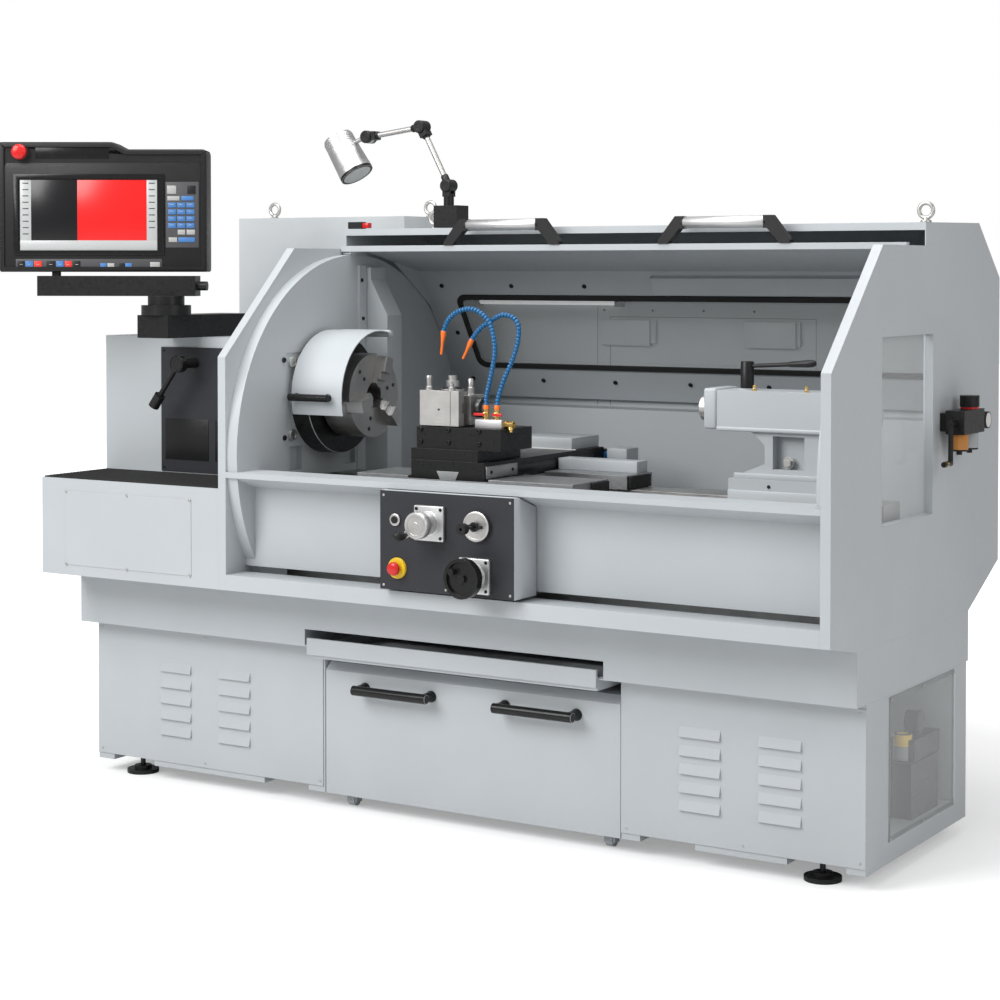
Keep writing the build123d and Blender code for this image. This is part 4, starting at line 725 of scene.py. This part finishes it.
# %% [markdown]
# The cross-slide is blackened casting. A bright gib strip runs along its right side, pale sheet covers hide
# the screw and motor behind it, and socket screws hold the riser.
# %% Cross-slide
cap_screws("riser_screws", [(x, -357, z) for x in (4, 98, 200) for z in (1139, 1104)], to_operator, 6.2,
    "slide", bolt_black)
cap_screws("slide_face_screws", [(20, -377, 1040), (60, -377, 1034), (150, -377, 1034), (216, -377, 1022)],
    to_operator, 3.4, "slide", bolt_black, 1.5)
for name, low, high, edge, finish, slot in (
        ("gib_strip", (230.6, -372, 1008), (234.2, -206, 1043), 0.8, ground_steel, "steel"),
        ("gib_rail", (230.6, -200, 1014), (232.6, 236, 1036), 0.8, dark_steel, "black_steel"),
        ("slide_edge", (-14, 133, 1052.6), (229, 138.6, 1056), 0.5, white_plastic, "steel"),
        ("motor_end", (196, 303.4, 1002), (262, 330, 1046), 1.5, bolt_black, "black_steel")):
    fit_boxes(name, [(low, high)], edge, finish, "slide")
cap_screws("gib_screws", [(234.2, -346, 1026), (234.2, -232, 1026)], to_tail, 5.5, "slide", bolt_black,
    1.4)
fit_boxes("slide_covers", [((2, 139, 1053.2), (213, 305, 1088)), ((262, 268, 1004), (330, 342, 1052))], 1.2,
    enamel, "slide")
fit_turned("motor_disc", [((236, 303.6, 1025), to_operator, [(0, 14), (1.6, 14), (2.2, 13), (2.2, 4)], 36)],
    blue_plastic, "slide", 35.0)

# %% [markdown]
# The ground wings of the saddle wear black rubber wipers where they meet the ways.
# %% Saddle wipers
fit_boxes("way_wipers",
    [((left, front, 968.4), (left + 7.8, back, 1004))
     for left, front, back in ((515.2, -276, -186), (515.2, -62, 62), (-213, -276, -186))],
    1.5, black_rubber, "carriage")
fit_boxes("saddle_cover", [((238, 18, 1007.3), (500, 82, 1040))], 1.0, enamel, "carriage")

# %% [markdown]
# Socket screws hold the hood's sheets. They sit on the inner face in rows, so their heads point
# back along the sheet's normal. A rounded rubber frame holds the hood's window.
# %% Hood screws and window trim
inward = (0.0, -0.85, -0.527)
hood_places = [(x, 425, 1541) for x in (-441, -175, 93, 363, 633, 900, 1168)]
hood_places += [(x, 617, 1231.3) for x in (-441, -169, 99, 368, 638, 905, 1172)]
hood_places += [(x, 521, 1386.3) for x in (-441, 1230)]
cap_screws("hood_screws", hood_places, inward, 7.5, "hood", bolt_black, 3.5)


def rounded(left, right, low, high, radius, steps=8):
    """The corner-rounded outline of a rectangle."""
    points = []
    for centre_u, centre_v, start in (
            (right - radius, high - radius, 0), (left + radius, high - radius, 90),
            (left + radius, low + radius, 180), (right - radius, low + radius, 270)):
        for step in range(steps + 1):
            angle = math.radians(start + 90 * step / steps)
            points.append((centre_u + radius * math.cos(angle), centre_v + radius * math.sin(angle)))
    return points


def frame_ring(name, outer, inner, to_place, depth):
    """A flat frame between two outlines of equal count, given a thickness."""
    count = len(outer)
    verts = [to_place(*point) for point in outer + inner]
    faces = [(i, (i + 1) % count, count + (i + 1) % count, count + i) for i in range(count)]
    open_shape(name, verts, faces)
    return grown(name, depth)


window_slope = Vector((0.0, 138.0, -222.8)).normalized()


def on_hood(x, along):
    """A place on the hood's inner face, by its x and its distance down from the window's upper edge."""
    return metres(Vector((x, 448.0, 1504.0)) + window_slope * along + Vector(inward) * 0.3)


window_trim = frame_ring("window_trim", rounded(-400, 1202, -10, 272, 34), rounded(-382, 1184, 8, 254, 22),
    on_hood, Vector(inward) * 5.0)
hand_over(window_trim, black_rubber, "hood", 40.0)

# %% [markdown]
# The grab handles are brushed tubes between black moulded feet; only the tube needs covering.
# %% Hood handles
fit_turned("handle_tubes", [((start, 28, 1727), to_tail, [(0, 16.2), (1, 16.9), (length - 1, 16.9),
    (length, 16.2)], 40) for start, length in ((-84, 244), (647, 250))], aluminium, "hood", 35.0)

# %% [markdown]
# The lifting eyes are forged rings on threaded shanks: a torus on a turned collar, copied to four places.
# %% Lifting eyes
bpy.ops.object.select_all(action="DESELECT")
bpy.ops.mesh.primitive_torus_add(major_segments=40, minor_segments=14, major_radius=0.020,
    minor_radius=0.0058, location=(0.0, 0.0, 0.032), rotation=(math.pi / 2, 0.0, 0.0))
ring = close(begin("eye_ring"))
shank = turned("eye_shank", (0, 0, 0), upwards, [(0, 15), (4, 15), (6, 13), (7, 8), (14, 6.5), (16, 5)], 24)
eyes = joined("lifting_eyes", [ring, shank])
copies(eyes, [(-1220, 548, 1769), (-620, 627, 1769), (-372, 283, 1724.5), (1325, 136, 1722)])
hand_over(eyes, satin_steel, "frame", 40.0)
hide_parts("lifting_eyebolts")
print("pieces so far", len(made))

# %% [markdown]
# The hand controls on the carriage box are turned knobs and wheels. The upper wheel is bright, with a black
# crank grip; the stop sits in a yellow collar; a bright ring frames the jog stick.
# %% Carriage controls
upper_wheel = (185, 903)
lower_wheel = (331, 770)
jog_at = (338, 904)
wheel = turned("feed_wheel", (upper_wheel[0], -590.3, upper_wheel[1]), to_operator, [(-14, 8), (0, 8),
    (0, 29), (2, 30), (38, 30), (39, 34), (41, 37), (61, 37), (64, 34.5), (64.2, 30), (62, 26), (62, 12),
    (66, 10), (66, 3)], 64)
arm = outline("feed_crank", [(x, -632, z) for x, z in ((190, 912), (194, 902), (147, 865), (136, 866),
    (134, 876), (140, 884))], (0, -9, 0), 1.5)
hand_over(joined("feed_wheel", [wheel, arm]), aluminium, "wheel_z", 40.0)
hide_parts("z_handwheel")
fit_turned("feed_grip", [((141, -641, 873), to_operator, [(0, 7), (1, 9), (8, 9.5), (18, 12.4), (36, 12.4),
    (44, 9.5), (46, 5)], 32)], black_moulding, "wheel_z", 50.0)
fit_turned("stop_collar", [((77, -580, 773), to_operator, [(0, 29), (6, 29), (8.6, 27), (8.6, 20)], 48)],
    yellow_plastic, "carriage")
fit_turned("control_bezels", [
    ((70, -580, 906), to_operator, [(0, 17), (5.4, 17), (6, 16), (6, 11)], 40),
    ((jog_at[0], -590, jog_at[1]), to_operator, [(0, 41), (1.6, 41), (2.2, 40), (2.2, 34), (1.6, 33.4)], 56)],
    satin_steel, "carriage")
corners = [(x + i, -590, z + j) for x, z in (upper_wheel, lower_wheel) for i in (-39, 39) for j in (-39, 39)]
cap_screws("flange_screws", corners, to_operator, 4.6, "carriage", bolt_black, 3.0)
cap_screws("box_screws", [(x, -580, z) for x in (30, 440) for z in (724, 972)] + [(235, -580, 724)],
    to_operator, 3.6, "carriage", satin_steel, 1.6)
fit_turned("jog_knob", [((jog_at[0], -646, jog_at[1]), to_operator, [(0, 8), (2, 13), (8, 15), (16, 15),
    (19, 12), (20, 4)], 40)], black_moulding, "jog", 50.0)

# %% [markdown]
# The headstock side: screws round the flush access door and the dark range panel, sight glasses and plugs on
# the inner wall, and a black sleeve over the nose of the casting.
# %% Headstock details
spindle_y, spindle_z = -107, 1213
for name, places, axis, radius, finish, slot, height in (
        ("door_screws", [(x, -551.5, z) for x in (-1175, -931, -687) for z in (914, 692)], to_operator, 4.6,
         satin_steel, "steel", 2.0),
        ("range_screws", [(x, -262, z) for x in (-1032, -596) for z in (974, 1340)], to_operator, 4.2,
         bolt_black, "black_steel", 2.0),
        ("head_plugs", [(-515, -321, 1323), (-515, -319, 1090)], to_tail, 8, bolt_black, "black_steel", 5),
        ("strip_bolts", [(-507, 69, 1560), (-507, 76, 1440)], to_tail, 6, bolt_black, "black_steel", 4)):
    cap_screws(name, places, axis, radius, "frame", finish, height)
fit_boxes("range_plates",
    [((left, -263.4, 1000), (right, -261.6, 1128)) for left, right in ((-1026, -852), (-826, -612))],
    0.5, bolt_black, "frame")
fit_turned("nose_drum", [((-514.6, spindle_y, spindle_z), to_tail, [(0, 180.7), (60, 180.7), (62.8, 178),
    (62.8, 112)], 96)], black_paint, "frame")
fit_turned("sight_glasses",
    [((-509, -284, z), to_tail, [(0, 17), (3, 17), (4, 16), (4, 11), (2.4, 10.5)], 32)
     for z in (1316, 1097)], satin_steel, "frame")
grips = [((-492, -326, spindle_z), to_tail, [(0, 9), (2, 11.2), (142, 11.2), (144, 9)], 28)]
grips += [((x, -304, spindle_z), to_operator, [(0, 12), (4, 12), (6, 10), (22, 10)], 24)
    for x in (-478, -363)]
fit_turned("guard_grip", grips, satin_black, "guard")
fit_turned("lever_cap", [((-905, -353, 1303), to_operator, [(-24, 26.4), (-2, 26.4), (0, 24.5), (0.2, 20),
    (-1, 18)], 48)], satin_black, "gear")

# %% [markdown]
# Two small screws sit in the chuck's face between each pair of jaws.
# %% Chuck face
screw_places = []
for angle in (135.0, 255.0, 375.0):
    turn = math.radians(angle)
    for reach in (72, 104):
        screw_places.append((-336, spindle_y + reach * math.cos(turn), spindle_z + reach * math.sin(turn)))
cap_screws("chuck_screws", screw_places, to_tail, 6.5, "spindle", dark_steel, 1.2)

# %% [markdown]
# The tailstock casting gets its raised nose, a rounded rib under the barrel, brass oilers, bolts and a black
# clamping lever with a swollen grip.
# %% Tailstock details
tail_forms = [block("tail_forms", *form) for form in (
    ((809, -177, 1160), (848, -37, 1271), 7.0, 3), ((846, -175, 1156), (1240, -39, 1168), 4.0, 3),
    ((888.5, -190, 968.4), (1236.5, 42, 1000), 2.5), ((905, -186, 1029), (1222, -176, 1046), 2.0))]
hand_over(joined("tail_forms", tail_forms), enamel, "tailstock", 40.0)
fit_turned("oilers", [((x, -150, 1266), upwards, [(0, 6.4), (6, 6.4), (7, 5), (9, 4), (12, 5.4), (15, 5),
    (16, 3)], 20) for x in (950, 1102)], brass_turned, "tailstock")
hex_bolts("tail_bolts", [(1047, -142, 1075)], to_operator, 13, "tailstock", satin_steel)
cap_screws("tail_screws", [(1010, -187, 1012), (1180, -187, 1012)], to_operator, 5, "tailstock", bolt_black,
    2)
post = fit_turned("tail_lever", [
    ((908, spindle_y, 1270.4), upwards, [(0, 18.4), (70, 18.4), (73, 16.5), (73.4, 8)], 40),
    ((920, spindle_y, 1331), (140, 0, 8), [(0, 5.5), (110, 6.4), (118, 8), (170, 10.4), (184, 9.6),
                                           (190, 6)], 28)],
    bolt_black, "clamp_lever")
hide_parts("tailstock_lever")

# %% [markdown]
# The tank's bridge handles are black moulded bars, and the roller light has black end clamps.
# %% Tank handles and light clamps
bars = []
for middle in (-104.0, 377.5):
    bars.append(((middle - 130, -362, 367), to_tail, [(0, 12), (2, 14.3), (258, 14.3), (260, 12)], 32))
    for end in (middle - 116, middle + 116):
        bars.append(((end, -317.3, 367), to_operator, [(0, 17), (3, 17), (7, 14.3), (44, 14.3)], 32))
fit_turned("tank_grips", bars, satin_black, "tank")
fit_boxes("light_clamps", [((x - 10, 637, 1473), (x + 10, 674.8, 1509)) for x in (-444, 92)], 2.0,
    black_moulding, "frame")

# %% [markdown]
# Sheet seams are fine dark gaps, and small screws sit along them.
# %% Rear wall seams
seams = [((x - 0.7, 674.4, 1155), (x + 0.7, 675.2, high)) for x, high in ((1, 1560), (48, 1441), (768, 1441))]
seams.append(((48, 674.4, 1440.3), (768, 675.2, 1441.7)))
fit_boxes("wall_seams", seams, 0.1, bolt_black, "frame")
cap_screws("wall_screws", [(x, 675, 1462) for x in (25, 203, 384, 560)], to_operator, 4, "frame",
    bolt_black, 1.5)

# %% [markdown]
# At the tail end stand the air unit and, behind its window, the way lubricator. Their bowls, caps and rings
# are what tells them apart, so those are turned as sleeves over the plain solids.
# %% Air unit and lubricator
amber = paint("amber_bowl", (0.42, 0.17, 0.03), 0.12, 0.00001, 200.0, 0.1)
smoke = paint("smoke_bowl", (0.30, 0.32, 0.33), 0.10, 0.00001, 200.0, 0.1)
bowl_profile = [(0, 25), (40, 24.6), (46, 22), (46.6, 9)]
for name, start, axis, profile, sides, finish, slot in (
        ("amber_bowl", (1390, 225, 1142), (0, 0, -1), bowl_profile, 40, amber, "clear"),
        ("smoke_bowl", (1390, 305, 1142), (0, 0, -1), bowl_profile, 40, smoke, "clear"),
        ("red_ring", (1390, 305, 1208), upwards, [(0, 25), (6, 25), (6.4, 24)], 40, red_plastic,
         "red_plastic"),
        ("gauge_face", (1406, 415, 1171), to_tail, [(-1, 20.5), (0.4, 20.5)], 40, white_plastic, "steel"),
        ("brass_fitting", (1390, 130, 1067), to_operator, [(0, 9), (10, 9), (11, 7), (22, 7), (23, 5)], 6,
         brass_turned, "brass"),
        ("filler_cap", (1287, 80, 300), upwards, [(0, 25), (30, 25), (33.5, 23), (34.4, 10)], 36,
         yellow_plastic, "red_plastic"),
        ("oil_glass", (1287, 80, 262), upwards, [(0, 24.8), (37, 24.8)], 36, smoke, "clear")):
    fit_turned(name, [(start, axis, profile, sides)], finish, "frame")
cap_screws("pane_screws", [(1349, y, z) for y in (-159, 74.5, 308) for z in (103, 471)], to_tail, 4.4,
    "frame", satin_steel, 1.6)
cap_screws("vent_screws", [(x, -320, z) for x in (-1240, -822, -382, 650, 1000, 1330) for z in (74, 460)],
    to_operator, 3.6, "frame", satin_steel, 1.4)

# %% [markdown]
# The control box is a dark face plate on an enamelled box, with bright square flanges behind the wheels.
# Thin shells lie on the box's flat faces, so that its sides and the flanges get their own finish.
# %% Control box shells
side_line = ((-578.6, 712.3), (-578.6, 985.0), (-553, 984.4), (-464.2, 951.3), (-464.2, 712.3))
shells = [block("box_sides", (18.2, -578.6, 984.2), (451, -553.6, 985.4), 0.3),
    outline("box_side", [(450.8, y, z) for y, z in side_line], (1.0, 0, 0), 0.2)]
hand_over(joined("box_sides", shells), enamel, "carriage")
flange_reach = 48.6
flanges = [block("wheel_flanges", (x - flange_reach, -590.7, z - flange_reach),
    (x + flange_reach, -580.2, z + flange_reach), 3.0, 3) for x, z in (upper_wheel, lower_wheel)]
hand_over(joined("wheel_flanges", flanges), aluminium, "carriage")
fit_turned("flange_hubs", [
    ((upper_wheel[0], -590.2, upper_wheel[1]), to_operator, [(0, 34), (1.6, 34), (2.4, 32), (2.4, 12)], 48),
    ((lower_wheel[0], -590.2, lower_wheel[1]), to_operator, [(0, 36), (9, 34), (10, 30), (10, 12)], 48)],
    aluminium, "carriage")
for slot_item in nodes["x_handwheel"].material_slots:
    slot_item.material = satin_black
rim_at = (upper_wheel[0], -654.2, upper_wheel[1])
fit_turned("wheel_rings", [(rim_at, to_operator, [(0, 31), (0.9, 31), (0.9, 26), (0.2, 25.4)], 64),
    (rim_at, to_operator, [(0, 10), (2.4, 9.4), (2.4, 3)], 32)], satin_steel, "wheel_z")

# %% [markdown]
# The work lamp has bright tubes between round black knuckles. Its head is a finned aluminium barrel with a
# black rim at the front and a black cap at the back.
# %% Work lamp
lamp_y = 113.0
knuckle_half = 17
knuckles = [Vector((x, lamp_y, z)) for x, z in ((-209, 1851), (-308, 2035), (-510, 2010))]
for low, high, body in ((knuckles[0], knuckles[1], "lamp_low"), (knuckles[1], knuckles[2], "lamp_high")):
    run = (high - low).normalized()
    length = (high - low).length
    fit_turned(body + "_tube",
        [(low + run * 34, run, [(0, 7.6), (1, 8.6), (length - 69, 8.6), (length - 68, 7.6)], 28)],
        satin_steel, body)
    fit_turned(body + "_collars", [(low + run * 16, run, [(0, 12), (18, 12), (21, 10), (21, 7.4)], 28),
        (high - run * 16, -run, [(0, 13), (20, 13), (24, 10), (24, 7.4)], 28)], bolt_black, body)
for knuckle, body in zip(knuckles, ("frame", "lamp_low", "lamp_high")):
    fit_turned(body + "_knuckle", [(knuckle + Vector((0, side * knuckle_half, 0)), (0, side, 0),
        [(-1, 19.8), (3, 19.8), (5.5, 17), (5.5, 9), (4.4, 8.4)], 36) for side in (-1, 1)], bolt_black,
        body)
head_back = Vector((-632, lamp_y, 2011))
head_front = Vector((-559, lamp_y, 1899))
lamp_way = (head_front - head_back).normalized()
barrel_profile = [(0, 38), (1.5, 45), (5, 48.6)]
for fin in range(4):
    start = fin * 7
    barrel_profile += [(9 + start, 49.6), (12.4 + start, 49.8), (13 + start, 48.8), (15.4 + start, 48.9)]
barrel_profile += [(38, 50.4), (60, 51.4), (60.6, 50.8), (62.4, 50.9), (63, 51.5), (118, 54.0), (119, 54.6),
    (132.6, 54.6)]
fit_turned("lamp_barrel", [(head_back + lamp_way * 0.4, lamp_way, barrel_profile, 72)], aluminium,
    "lamp_shade", 30.0)
fit_turned("lamp_rim", [(head_front - lamp_way, lamp_way, [(0, 48), (0.4, 54.4), (8.6, 54.4), (9.2, 52),
    (9.2, 46), (7, 45)], 64)], black_moulding, "lamp_shade")
fit_turned("lamp_back", [(head_back - lamp_way * 0.2, lamp_way, [(-3, 28), (-1, 38), (1.2, 42.6),
    (1.2, 28)], 56)], bolt_black, "lamp_shade")

# %% [markdown]
# Two shallow covers stand on the rear wall, and the guard switch ends in a red key.
# %% Small covers
fit_boxes("wall_covers",
    [((left, 655, 1349), (right, 675, 1431)) for left, right in ((24, 201), (535, 708))],
    1.5, enamel, "frame")
fit_boxes("switch_key", [((-521, 90, 1723.5), (-497, 110, 1740))], 1.5, red_plastic, "frame")
print("pieces in all", len(made))
